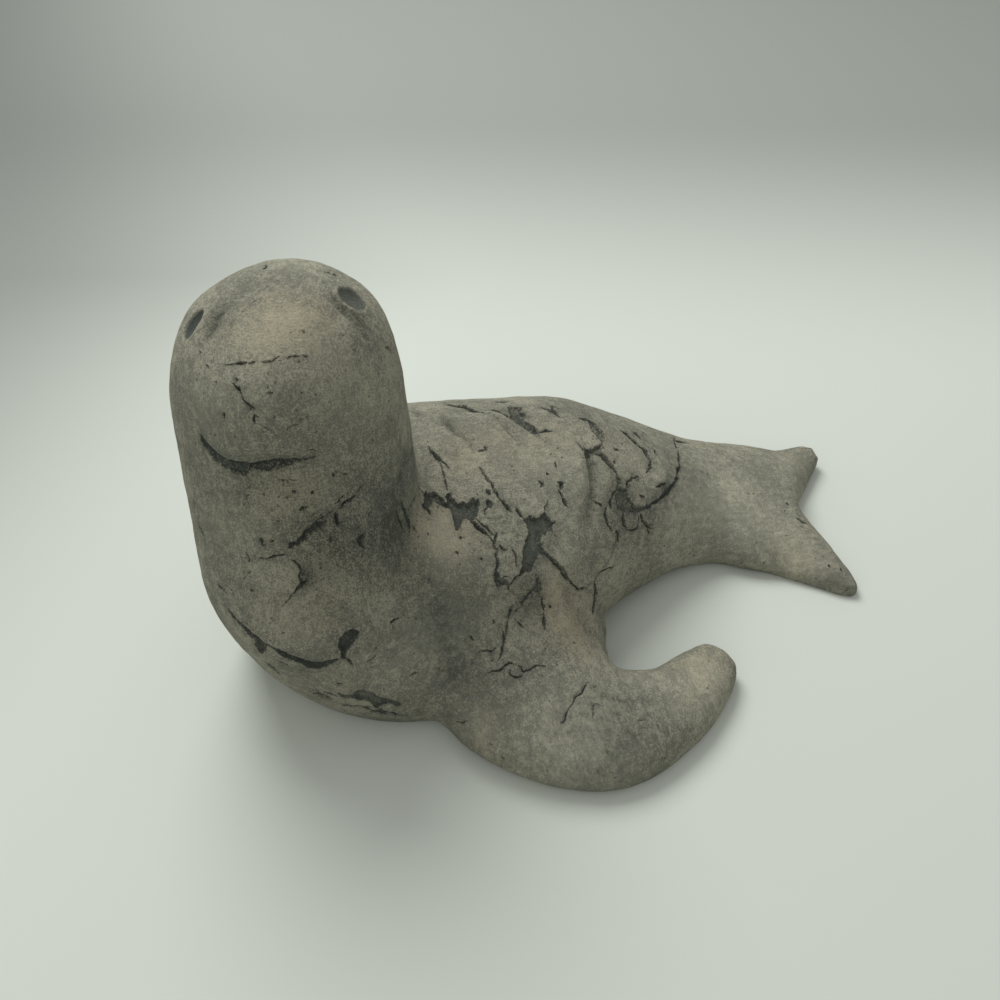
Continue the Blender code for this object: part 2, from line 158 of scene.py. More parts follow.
# Upright rings of the trunk: centre x (share of the shoulders' width), y (of the body's
# reach), height of the widest line (of the back's height), half width (of the shoulders'
# width), then the rise above that line and the depth below it (of the back's height).
TRUNK = [
    (0.08, -0.03, 0.33, 0.28, 0.47, 0.43),
    (0.02, 0.085, 0.33, 0.48, 0.62, 0.43),
    (-0.01, 0.24, 0.30, 0.51, 0.67, 0.40),
    (-0.04, 0.37, 0.25, 0.46, 0.67, 0.35),
    (-0.07, 0.49, 0.20, 0.39, 0.66, 0.30),
    (-0.08, 0.615, 0.13, 0.305, 0.50, 0.23),
    (-0.06, 0.73, 0.08, 0.275, 0.30, 0.18),
    (0.0, 0.82, 0.07, 0.30, 0.20, 0.17),
    (0.07, 0.89, 0.07, 0.28, 0.13, 0.15),
]
# The flippers and flukes in the same terms: x in shares of the limb's own reach, half width
# in shares of its own breadth.
LEFT_FLIPPER = [
    (0.16, 0.21, 0.17, 0.455, 0.57, 0.27),
    (0.455, 0.284, 0.12, 0.485, 0.43, 0.22),
    (0.75, 0.312, 0.08, 0.42, 0.30, 0.18),
    (0.955, 0.39, 0.07, 0.335, 0.20, 0.17),
    (0.957, 0.49, 0.07, 0.215, 0.15, 0.17),
    (0.865, 0.562, 0.07, 0.16, 0.12, 0.17),
    (0.79, 0.608, 0.07, 0.11, 0.09, 0.15),
    (0.777, 0.616, 0.07, 0.06, 0.06, 0.13),
]
RIGHT_FLIPPER = [
    (-0.22, 0.18, 0.17, 0.425, 0.53, 0.27),
    (-0.55, 0.235, 0.12, 0.425, 0.37, 0.22),
    (-0.81, 0.295, 0.08, 0.35, 0.25, 0.18),
    (-0.97, 0.37, 0.07, 0.26, 0.18, 0.17),
    (-1.0, 0.445, 0.07, 0.195, 0.15, 0.17),
    (-0.935, 0.51, 0.07, 0.105, 0.10, 0.15),
]
NEAR_FLUKE = [
    (-0.03, 0.772, 0.07, 0.50, 0.20, 0.17),
    (0.23, 0.82, 0.06, 0.385, 0.12, 0.15),
    (0.47, 0.862, 0.05, 0.24, 0.07, 0.12),
    (0.68, 0.894, 0.045, 0.09, 0.05, 0.10),
    (0.70, 0.899, 0.045, 0.045, 0.035, 0.08),
]
FAR_FLUKE = [
    (-0.03, 0.772, 0.07, 0.50, 0.20, 0.17),
    (-0.145, 0.862, 0.06, 0.36, 0.105, 0.15),
    (-0.24, 0.936, 0.06, 0.23, 0.085, 0.13),
    (-0.32, 1.0, 0.065, 0.10, 0.07, 0.13),
]

# Cracks: width, depth, how far the clay on the left of the way that the points run stands
# higher than on the right (all mm), then the points in the picture.
FACE_CRACKS = [
    (0.18, 0.4, 0.0, [(224, 364), (230, 364), (237, 363)]),
    (0.50, 0.8, 0.2, [(236, 364), (240, 363), (246, 362)]),
    (0.25, 0.6, 0.1, [(248, 363), (252, 362), (255, 361)]),
    (0.32, 0.7, 0.1, [(261, 362), (267, 361), (272, 360), (279, 357)]),
    (0.20, 0.6, 0.1, [(286, 358), (293, 356), (301, 355)]),
    (0.25, 0.5, 0.0, [(303, 356), (308, 356)]),
    (0.90, 1.0, 0.3, [(232, 383), (236, 387), (240, 390), (242, 395)]),
    (0.25, 0.6, 0.1, [(241, 394), (243, 400)]),
    (0.55, 1.0, 0.2, [(242, 399), (246, 403), (250, 406), (255, 409)]),
    (0.80, 0.8, 0.0, [(250, 406), (251, 410)]),
    (0.35, 0.6, 0.0, [(253, 415), (258, 417)]),
    (0.55, 0.7, 0.0, [(254, 416), (254, 420), (254, 424)]),
    (0.18, 0.5, 0.0, [(255, 423), (262, 427), (270, 432), (277, 433)]),
    (0.45, 0.7, 0.1, [(287, 430), (290, 427), (297, 425)]),
    (0.35, 0.5, 0.0, [(299, 421), (302, 419), (305, 419)]),
    (0.18, 0.5, 0.0, [(305, 418), (313, 416)]),
    (0.50, 0.5, 0.0, [(223, 412), (224, 416), (225, 420)]),
    (0.35, 0.5, 0.0, [(324, 271), (328, 271), (331, 272)]),
    (0.70, 0.7, 0.0, [(333, 273), (337, 274)]),
    (0.60, 0.7, 0.0, [(262, 268), (266, 266), (266, 263)]),
    (0.60, 0.6, 0.0, [(387, 347), (392, 349)]),
    (0.60, 0.5, 0.0, [(206, 365), (208, 369)]),
    (0.50, 0.5, 0.0, [(199, 350), (200, 353)]),
    (0.50, 0.5, 0.0, [(235, 378), (237, 381)]),
    (0.50, 0.5, 0.0, [(302, 391), (303, 394)]),
    (0.40, 0.5, 0.0, [(267, 393), (272, 392)]),
    (0.35, 0.5, 0.0, [(298, 360), (300, 362)]),
    (0.40, 0.5, 0.0, [(275, 479), (282, 481), (288, 481)]),
    (1.00, 0.8, 0.3, [(315, 457), (305, 459), (291, 462), (277, 464), (263, 465), (250, 466),
                      (239, 466), (228, 462), (218, 456), (209, 448), (203, 440), (200, 435)]),
    (0.35, 0.4, 0.0, [(289, 480), (296, 481)]),
    (0.35, 0.4, 0.0, [(306, 452), (312, 450), (317, 451)]),
]
CHEST_CRACKS = [
    (0.45, 0.9, 0.9, [(282, 607), (289, 599), (295, 591), (301, 583), (299, 576), (301, 570),
                      (296, 563), (289, 560)]),
    (0.70, 0.9, 0.3, [(298, 592), (302, 587), (307, 582)]),
    (0.60, 0.9, 0.2, [(254, 556), (259, 559), (266, 559), (272, 558), (280, 555), (286, 555)]),
    (0.45, 0.6, 0.0, [(245, 553), (248, 560), (249, 563)]),
    (0.98, 1.3, 0.3, [(335, 513), (337, 519), (338, 525), (342, 522)]),
    (0.98, 1.2, 0.3, [(341, 508), (345, 503), (351, 500), (355, 495)]),
    (0.38, 0.5, 0.0, [(355, 495), (359, 490), (363, 486)]),
    (0.45, 0.6, 0.0, [(335, 505), (340, 499), (344, 495)]),
    (0.52, 0.7, 0.0, [(313, 525), (319, 520), (326, 515), (333, 511)]),
    (0.98, 1.0, 0.2, [(367, 533), (364, 537), (361, 541), (362, 546), (365, 549)]),
    (0.68, 0.9, 0.2, [(346, 658), (350, 662), (354, 667)]),
    (1.00, 0.9, 0.0, [(334, 684), (338, 685), (342, 684)]),
    (1.60, 0.8, 0.1, [(310, 689), (314, 690), (319, 692)]),
    (2.00, 0.9, 0.1, [(313, 694), (319, 695), (327, 698)]),
    (2.40, 1.0, 0.2, [(319, 693), (325, 696), (332, 700)]),
    (1.60, 0.8, 0.1, [(324, 692), (330, 694), (336, 696)]),
    (2.20, 0.9, 0.2, [(344, 706), (352, 707), (362, 707), (370, 706)]),
    (0.70, 0.5, 0.0, [(343, 710), (347, 713), (351, 714)]),
    (0.70, 0.5, 0.0, [(364, 690), (358, 695), (352, 697)]),
    (1.80, 0.7, 0.0, [(266, 662), (271, 668), (279, 675)]),
    (2.20, 0.8, 0.0, [(270, 667), (275, 672)]),
    (1.80, 0.8, 0.0, [(278, 662), (283, 664), (287, 666)]),
    (2.80, 1.1, 0.5, [(358, 706), (366, 708), (374, 711), (380, 713), (386, 715)]),
    (1.50, 0.9, 0.4, [(376, 706), (382, 710), (389, 713), (398, 716), (408, 716)]),
    (0.80, 0.6, 0.1, [(193, 500), (195, 511), (198, 520), (202, 533)]),
    (1.10, 0.7, 0.1, [(198, 527), (201, 533), (203, 537)]),
    (0.30, 0.4, 0.0, [(245, 495), (248, 503), (250, 510)]),
    (0.45, 0.5, 0.0, [(366, 663), (371, 660), (378, 655)]),
    (0.68, 0.7, 0.0, [(391, 624), (395, 620), (399, 618)]),
    (0.45, 0.5, 0.0, [(409, 677), (414, 674), (420, 673)]),
    (0.75, 0.7, 0.0, [(217, 586), (221, 589), (227, 595)]),
    (0.83, 0.8, 0.0, [(301, 512), (304, 509), (307, 508)]),
    (0.75, 0.8, 0.0, [(293, 492), (296, 493)]),
    (0.75, 0.7, 0.0, [(311, 493), (313, 494)]),
    (0.68, 0.7, 0.0, [(344, 474), (346, 475)]),
    (0.60, 0.6, 0.0, [(334, 474), (335, 477)]),
    (0.60, 0.6, 0.0, [(275, 521), (280, 522)]),
    (0.83, 0.8, 0.0, [(261, 538), (262, 545), (266, 546)]),
    (0.52, 0.6, 0.0, [(270, 543), (274, 540)]),
    (0.60, 0.6, 0.0, [(331, 536), (330, 543)]),
    (0.68, 0.6, 0.0, [(250, 590), (253, 592)]),
    (0.45, 0.5, 0.0, [(413, 525), (417, 531), (419, 537)]),
    (0.90, 0.9, 0.1, [(404, 503), (408, 515), (411, 526), (410, 535)]),
    (0.52, 0.6, 0.0, [(400, 512), (403, 522), (406, 533)]),
    (0.45, 0.5, 0.0, [(417, 497), (413, 504), (409, 510)]),
]
SHOULDER_CRACKS = [
    (0.60, 1.0, 0.3, [(428, 445), (432, 451), (436, 456), (440, 459)]),
    (1.10, 1.0, 0.2, [(433, 452), (437, 457), (442, 461)]),
    (0.30, 0.6, 0.2, [(440, 460), (445, 464), (449, 470)]),
    (0.40, 0.7, 0.2, [(438, 459), (442, 467), (445, 478), (447, 487), (448, 494)]),
    (0.90, 1.0, 0.4, [(470, 520), (478, 527), (485, 532), (491, 536)]),
    (0.35, 0.7, 0.2, [(475, 518), (482, 524), (489, 530), (494, 535)]),
    (0.70, 0.9, 0.2, [(497, 533), (495, 539), (494, 546)]),
    (0.45, 0.7, 0.2, [(490, 536), (494, 541), (495, 548), (499, 549)]),
    (0.60, 0.8, 0.2, [(500, 545), (503, 549), (507, 550)]),
    (0.70, 0.8, 0.1, [(498, 550), (496, 556), (498, 561)]),
    (1.10, 0.9, 0.2, [(487, 489), (489, 493), (492, 494)]),
    (1.20, 1.0, 0.2, [(488, 499), (490, 503), (491, 508)]),
    (0.60, 0.8, 0.1, [(488, 505), (486, 510), (485, 515)]),
    (0.35, 0.7, 0.2, [(479, 466), (482, 471), (485, 476)]),
    (0.70, 1.0, 0.3, [(484, 473), (487, 478), (490, 482)]),
    (0.80, 1.1, 0.4, [(490, 481), (494, 487), (497, 493), (499, 497)]),
    (0.70, 1.0, 0.4, [(499, 497), (503, 502), (508, 508), (512, 511)]),
    (0.80, 1.0, 0.3, [(516, 508), (519, 512), (523, 517)]),
    (0.30, 0.6, 0.1, [(545, 514), (546, 507), (548, 500)]),
    (0.50, 0.9, 0.5, [(508, 586), (514, 580), (520, 574), (523, 566)]),
    (0.45, 0.7, 0.1, [(508, 585), (509, 591)]),
    (0.35, 0.6, 0.1, [(511, 545), (515, 552), (517, 560), (517, 568)]),
    (0.50, 0.6, 0.0, [(501, 579), (505, 576), (508, 577)]),
    (0.30, 0.6, 0.2, [(522, 606), (517, 610), (512, 611)]),
    (0.50, 0.7, 0.2, [(542, 598), (543, 604), (545, 611)]),
    (0.60, 0.6, 0.0, [(456, 551), (458, 554)]),
    (0.70, 0.6, 0.0, [(460, 537), (462, 538)]),
    (0.60, 0.6, 0.0, [(482, 557), (483, 560)]),
    (0.60, 0.6, 0.0, [(460, 564), (461, 565)]),
    (0.40, 0.5, 0.0, [(430, 578), (429, 582), (427, 585)]),
    (1.20, 1.0, 0.6, [(549, 556), (554, 561), (561, 568), (567, 577), (573, 584)]),
    (0.85, 1.2, 0.6, [(571, 583), (578, 589), (584, 588), (594, 580), (603, 571)]),
    (0.65, 1.1, 0.4, [(602, 571), (608, 563), (613, 553), (617, 543), (617, 534)]),
    (0.72, 0.9, 0.1, [(597, 574), (606, 570), (614, 567), (617, 563)]),
    (0.79, 1.1, 0.1, [(594, 580), (597, 588), (596, 597), (594, 606), (593, 614)]),
    (0.86, 1.0, 0.2, [(512, 607), (510, 615), (509, 620)]),
    (0.58, 0.9, 0.2, [(509, 620), (507, 630), (505, 640), (502, 650), (499, 660)]),
    (0.72, 1.0, 0.2, [(503, 631), (505, 635), (504, 640)]),
    (0.58, 0.9, 0.2, [(544, 611), (545, 620), (545, 630)]),
    (0.50, 0.7, 0.1, [(470, 636), (474, 640), (478, 640), (481, 637)]),
    (0.43, 0.6, 0.1, [(478, 652), (486, 650), (492, 651), (496, 648)]),
    (0.79, 0.8, 0.0, [(493, 620), (495, 624)]),
    (0.58, 0.7, 0.1, [(517, 622), (521, 625), (524, 627)]),
    (0.65, 0.8, 0.0, [(550, 605), (552, 607)]),
    (0.72, 1.0, 0.2, [(555, 462), (557, 467)]),
    (0.79, 0.9, 0.1, [(539, 480), (543, 483), (541, 487)]),
    (0.94, 1.0, 0.2, [(558, 481), (562, 483), (561, 490)]),
    (0.72, 1.0, 0.2, [(560, 489), (563, 497), (566, 503), (569, 507)]),
    (0.58, 0.8, 0.1, [(547, 472), (549, 475)]),
    (0.58, 0.8, 0.1, [(595, 500), (600, 503), (603, 506)]),
    (0.50, 0.6, 0.0, [(478, 451), (484, 449), (489, 447)]),
    (0.65, 0.7, 0.0, [(484, 446), (487, 450)]),
]
FLIPPER_CRACKS = [
    (0.50, 1.2, 0.2, [(488, 673), (494, 670), (501, 669), (505, 665), (509, 662), (516, 664)]),
    (0.44, 1.1, 0.1, [(516, 664), (521, 667), (524, 671), (531, 669), (537, 665), (547, 666)]),
    (0.39, 0.8, 0.1, [(509, 668), (510, 674), (516, 677), (521, 676), (524, 671)]),
    (0.50, 1.1, 0.2, [(588, 681), (584, 688), (581, 694), (576, 696), (573, 703), (569, 708)]),
    (0.44, 0.9, 0.2, [(569, 708), (566, 714), (565, 720), (561, 723)]),
    (0.33, 0.7, 0.1, [(597, 701), (593, 706), (594, 713), (593, 721)]),
    (0.28, 0.5, 0.0, [(637, 721), (642, 719), (648, 718)]),
    (0.33, 0.6, 0.0, [(455, 722), (460, 723), (466, 721)]),
]
BACK_CRACKS = [
    (0.20, 0.5, 0.9, [(594, 500), (591, 488), (588, 478), (585, 466), (582, 454), (577, 444)]),
    (0.15, 0.4, 0.5, [(520, 446), (512, 437), (505, 429), (499, 422), (493, 417), (486, 413)]),
    (0.15, 0.4, 0.5, [(544, 444), (532, 434), (522, 426), (513, 420), (507, 415)]),
    (0.15, 0.4, 0.4, [(475, 455), (471, 443), (463, 437), (456, 433), (449, 426), (440, 416)]),
    (0.75, 1.1, 0.5, [(445, 403), (456, 406), (466, 407), (474, 411), (486, 413)]),
    (0.52, 0.9, 0.4, [(486, 413), (496, 419), (503, 427), (510, 435), (516, 440)]),
    (0.45, 0.8, 0.3, [(487, 408), (498, 411), (507, 415), (513, 421), (522, 426)]),
    (0.60, 0.9, 0.2, [(540, 406), (547, 408), (554, 411), (561, 417)]),
    (0.90, 1.0, 0.1, [(552, 404), (553, 409), (558, 412)]),
    (0.45, 0.6, 0.1, [(553, 405), (560, 408)]),
    (0.68, 0.8, 0.1, [(540, 432), (546, 429), (553, 431)]),
    (0.45, 0.6, 0.0, [(495, 401), (502, 402), (510, 401)]),
    (0.60, 0.8, 0.2, [(579, 417), (584, 418), (588, 419), (591, 422)]),
    (0.60, 1.0, 0.3, [(603, 442), (600, 448), (594, 452), (590, 450)]),
    (0.45, 0.7, 0.5, [(576, 443), (580, 449), (583, 456)]),
    (1.20, 1.5, 0.5, [(594, 451), (600, 455), (607, 460), (612, 466), (618, 474)]),
    (0.90, 1.3, 0.4, [(617, 473), (620, 480), (619, 487)]),
    (0.68, 1.1, 0.4, [(619, 428), (627, 434), (634, 440), (641, 447)]),
    (0.98, 1.3, 0.4, [(640, 446), (646, 450), (649, 456), (651, 463)]),
    (0.90, 1.0, 0.3, [(651, 460), (652, 467), (647, 473)]),
    (0.75, 1.1, 0.3, [(640, 476), (634, 478), (629, 482), (627, 490)]),
    (1.12, 1.0, 0.2, [(655, 488), (660, 485), (664, 483)]),
    (0.75, 0.8, 0.0, [(640, 494), (645, 497)]),
    (0.68, 0.8, 0.2, [(674, 439), (680, 441), (688, 443)]),
    (0.60, 0.7, 0.0, [(655, 450), (657, 455)]),
    (0.83, 0.8, 0.0, [(614, 447), (619, 450)]),
    (0.68, 0.7, 0.0, [(622, 443), (624, 444)]),
    (0.68, 0.8, 0.0, [(613, 462), (616, 463)]),
    (0.90, 1.0, 0.1, [(632, 432), (637, 433), (641, 439)]),
    (0.68, 1.1, 0.3, [(625, 512), (624, 518), (625, 525), (629, 530)]),
    (0.60, 1.0, 0.3, [(629, 530), (634, 531), (638, 527), (640, 519), (639, 514)]),
    (0.83, 1.2, 0.3, [(641, 514), (644, 521), (649, 527), (655, 529)]),
    (0.45, 0.8, 0.1, [(649, 527), (652, 524), (656, 517)]),
    (0.45, 0.7, 0.1, [(649, 528), (650, 535)]),
    (0.98, 1.0, 0.2, [(618, 489), (614, 493), (611, 502), (612, 510)]),
    (0.68, 0.9, 0.2, [(608, 506), (606, 514), (609, 523), (613, 531)]),
    (0.75, 0.9, 0.1, [(617, 530), (620, 534), (619, 541)]),
    (0.52, 0.6, 0.0, [(797, 517), (802, 521), (808, 523)]),
    (0.60, 0.6, 0.0, [(787, 502), (789, 505)]),
    (0.60, 0.6, 0.0, [(829, 564), (830, 567)]),
    (0.52, 0.5, 0.0, [(841, 568), (843, 571)]),
]
# The deep curved cracks: as above, the width being that at the middle.
DEEP_CRACKS = [
    (1.80, 1.0, 0.7, [(640, 511), (651, 505), (662, 497), (671, 488), (677, 477), (680, 464),
                      (679, 452), (676, 443), (674, 437)]),
]

# Torn pockets: depth, how thick the slip lies in them (both mm; under 0.1 it is thin and
# speckled), then the outline in the picture.
POCKETS = [
    (1.4, 0.1, [(200, 435), (207, 444), (213, 449), (220, 455), (228, 460), (238, 462),
        (250, 463), (262, 463), (275, 462), (290, 461), (305, 459), (315, 457), (304, 461),
        (291, 465), (277, 468), (268, 471), (258, 469), (250, 470), (246, 474), (239, 475),
        (229, 470), (221, 465), (214, 459), (209, 452), (204, 444)]),
    (1.5, 0.08, [(287, 550), (290, 543), (297, 541), (302, 535), (306, 529), (313, 525),
        (320, 522), (327, 521), (323, 526), (316, 532), (308, 536), (306, 539), (297, 545),
        (291, 548)]),
    (2.0, 9.0, [(226, 608), (236, 619), (245, 627), (253, 634), (262, 640), (272, 645),
        (282, 650), (291, 656), (300, 659), (310, 662), (322, 663), (330, 661), (339, 659),
        (331, 665), (325, 668), (317, 670), (309, 669), (302, 665), (294, 662), (286, 659),
        (279, 655), (273, 649), (268, 645), (266, 650), (262, 655), (256, 648), (254, 640),
        (247, 635), (245, 630), (238, 624), (233, 618)]),
    (2.6, 9.0, [(347, 632), (351, 629), (357, 630), (359, 633), (356, 639), (352, 645),
        (348, 650), (346, 656), (345, 660), (341, 658), (341, 652), (339, 647), (340, 641),
        (344, 635)]),
    (1.2, 9.0, [(338, 693), (345, 696), (352, 694), (357, 692), (358, 690), (364, 690),
        (368, 692), (374, 694), (379, 698), (386, 698), (392, 700), (401, 702), (400, 705),
        (394, 705), (386, 702), (381, 705), (375, 707), (371, 701), (362, 700), (352, 698),
        (343, 698)]),
    (1.4, 9.0, [(420, 488), (425, 492), (426, 486), (428, 493), (433, 491), (437, 492),
        (440, 495), (444, 500), (446, 502), (447, 494), (450, 492), (451, 498), (455, 500),
        (458, 504), (462, 501), (466, 504), (470, 502), (474, 497), (475, 502), (478, 497),
        (480, 498), (479, 505), (478, 511), (477, 516), (474, 520), (470, 520), (466, 517),
        (463, 519), (461, 525), (459, 531), (456, 531), (454, 524), (453, 518), (453, 512),
        (450, 509), (445, 507), (440, 504), (435, 501), (432, 500), (431, 505), (428, 507),
        (431, 512), (430, 515), (426, 510), (422, 505), (425, 501), (425, 496)]),
    (1.5, 9.0, [(521, 515), (526, 519), (531, 515), (533, 518), (540, 518), (545, 513),
        (548, 518), (552, 522), (557, 521), (553, 525), (553, 531), (556, 536), (551, 531),
        (548, 530), (546, 535), (543, 532), (541, 538), (542, 545), (545, 550), (552, 558),
        (546, 558), (540, 555), (536, 560), (534, 566), (531, 573), (527, 572), (523, 576),
        (518, 577), (522, 568), (523, 553), (525, 541), (529, 535), (528, 526)]),
    (0.9, 0.05, [(536, 574), (539, 578), (541, 584), (542, 592), (543, 600), (540, 595),
        (537, 590), (531, 594), (525, 600), (522, 606), (520, 606), (524, 598), (530, 591),
        (536, 586)]),
    (1.0, 0.1, [(496, 560), (499, 561), (498, 568), (499, 576), (502, 582), (505, 580),
        (508, 581), (507, 585), (502, 586), (498, 590), (496, 584), (494, 576), (496, 568)]),
    (1.5, 0.06, [(507, 407), (522, 407), (519, 412), (526, 413), (524, 420), (536, 427),
        (539, 432), (532, 431), (519, 423), (510, 416)]),
    (1.3, 0.05, [(589, 419), (595, 423), (601, 428), (605, 434), (605, 441), (602, 442),
        (597, 436), (592, 430), (590, 424)]),
    (1.2, 0.1, [(583, 447), (588, 450), (594, 448), (600, 444), (603, 446), (600, 454),
        (593, 455), (586, 462)]),
    (1.2, 0.02, [(617, 484), (622, 488), (627, 489), (629, 495), (633, 503), (638, 508),
        (645, 506), (640, 512), (636, 513), (625, 513), (617, 507), (615, 499)]),
]

# Pressed-in ovals: centre and one end of the long way in the picture, width and depth in mm,
# and how much slate slip their floor holds.
EYES = [
    ((192, 323), (202, 308.5), 5.6, 1.3, 1.1),
    ((353.5, 297), (366, 309), 6.5, 1.3, 0.85),
]

# Soft grooves (depth over 0) and ridges (under 0): half width and depth in mm, how dark the
# groove is painted, with smoke and with painted shade, as in the grooves beside the muzzle, over
# the mouth and in the valley between neck and shoulder (under 0: how pale the ridge is painted,
# a painted highlight), and the points in the picture.
FOLDS = [
    (2.0, 1.2, 0.7, [(300, 564), (306, 570), (308, 578), (304, 588), (298, 596)]),
    (1.8, 1.4, 1.5, [(221, 303), (217, 312), (212, 322), (207, 333), (204, 343)]),
    (1.5, 1.3, 0.7, [(331, 292), (338, 301), (346, 310), (353, 317)]),
    (2.2, 1.2, 0.35, [(350, 312), (358, 319), (364, 326), (369, 334), (371, 344)]),
    (4.0, 1.2, 0.25, [(228, 300), (240, 288), (262, 280), (290, 280), (312, 285), (333, 292)]),
    (0.9, -0.8, -1.0, [(308, 293), (318, 298), (328, 305), (338, 312)]),
    (0.9, -0.7, -0.8, [(338, 312), (347, 320), (355, 331), (363, 343)]),
    (0.8, -0.4, -0.9, [(309, 280), (314, 280), (318, 283)]),
    (1.4, -0.5, -0.2, [(236, 304), (228, 318), (219, 334), (214, 344)]),
    (1.7, 1.0, 0.3, [(246, 460), (262, 459), (280, 459), (300, 459)]),
    (0.8, -0.3, -0.8, [(285, 453), (290, 454), (295, 455)]),
    (1.2, -0.7, -0.25, [(415, 405), (421, 412), (430, 424), (438, 438)]),
    (0.8, 0.8, 0.8, [(412, 404), (418, 412), (425, 421)]),
    (1.0, 1.1, 0.6, [(432, 410), (441, 417), (450, 427), (457, 434), (466, 439), (474, 450)]),
    (2.2, -1.2, -0.4, [(436, 404), (452, 418), (466, 430), (480, 440)]),
    (1.2, 0.8, 0.3, [(414, 430), (420, 448), (428, 468), (436, 488)]),
    (1.5, -0.7, -0.25, [(440, 440), (448, 455), (452, 470), (456, 486)]),
    (0.8, 0.5, 0.8, [(453, 443), (456, 451), (455, 460)]),
    (2.4, -1.4, -0.4, [(470, 414), (486, 417), (496, 424), (506, 434), (516, 446)]),
    (1.2, 1.3, 0.8, [(486, 413), (496, 418), (504, 426), (512, 436), (520, 443)]),
    (1.2, 1.1, 0.6, [(500, 410), (516, 422), (532, 432), (546, 440), (558, 450)]),
    (1.4, -1.0, -0.4, [(488, 410), (502, 416), (514, 425), (528, 434), (542, 444)]),
    (2.6, -1.7, -0.5, [(556, 424), (570, 440), (577, 456), (581, 476), (584, 498)]),
    (2.0, 1.5, 0.85, [(588, 450), (591, 468), (593, 484), (592, 500)]),
    (1.5, 1.0, 0.7, [(592, 492), (590, 512), (588, 530)]),
    (2.0, -1.0, -0.2, [(602, 462), (608, 478), (608, 495)]),
    (2.2, -0.9, -0.15, [(648, 440), (662, 452), (666, 468), (660, 482), (648, 494)]),
    (1.4, 0.4, 0.6, [(632, 470), (636, 478), (642, 480)]),
    (1.8, 0.4, 0.6, [(646, 504), (662, 492), (670, 480)]),
    (1.4, -0.6, -0.3, [(245, 632), (262, 640), (282, 648), (304, 656), (326, 660)]),
    (2.6, -0.9, 0.0, [(206, 432), (222, 446), (244, 452), (270, 453), (300, 450)]),
    (2.6, 0.8, 0.1, [(212, 468), (232, 484), (256, 486), (284, 476)]),
    (1.8, -0.6, -0.3, [(552, 596), (562, 612), (574, 632), (586, 655)]),
    (1.0, 0.6, 0.3, [(565, 592), (577, 612), (588, 632), (598, 655)]),
    (1.0, -0.5, -0.3, [(580, 598), (592, 618), (604, 640)]),
    (5.0, 0.7, 0.1, [(590, 702), (620, 704), (650, 704), (680, 696)]),
    (1.0, 0.8, 0.4, [(588, 681), (598, 690), (612, 697), (634, 700)]),
    (3.0, 0.8, 0.25, [(408, 440), (405, 470), (400, 505), (402, 540)]),
    (0.7, 0.5, 0.2, [(374, 572), (372, 585), (373, 601)]),
    (0.4, -0.4, -0.7, [(370, 574), (368, 587), (369, 603), (374, 606)]),
    (0.4, -0.3, -0.6, [(378, 574), (378, 588), (376, 602)]),
    (2.4, 0.6, 0.15, [(418, 560), (432, 590), (440, 620), (448, 655), (460, 690)]),
]
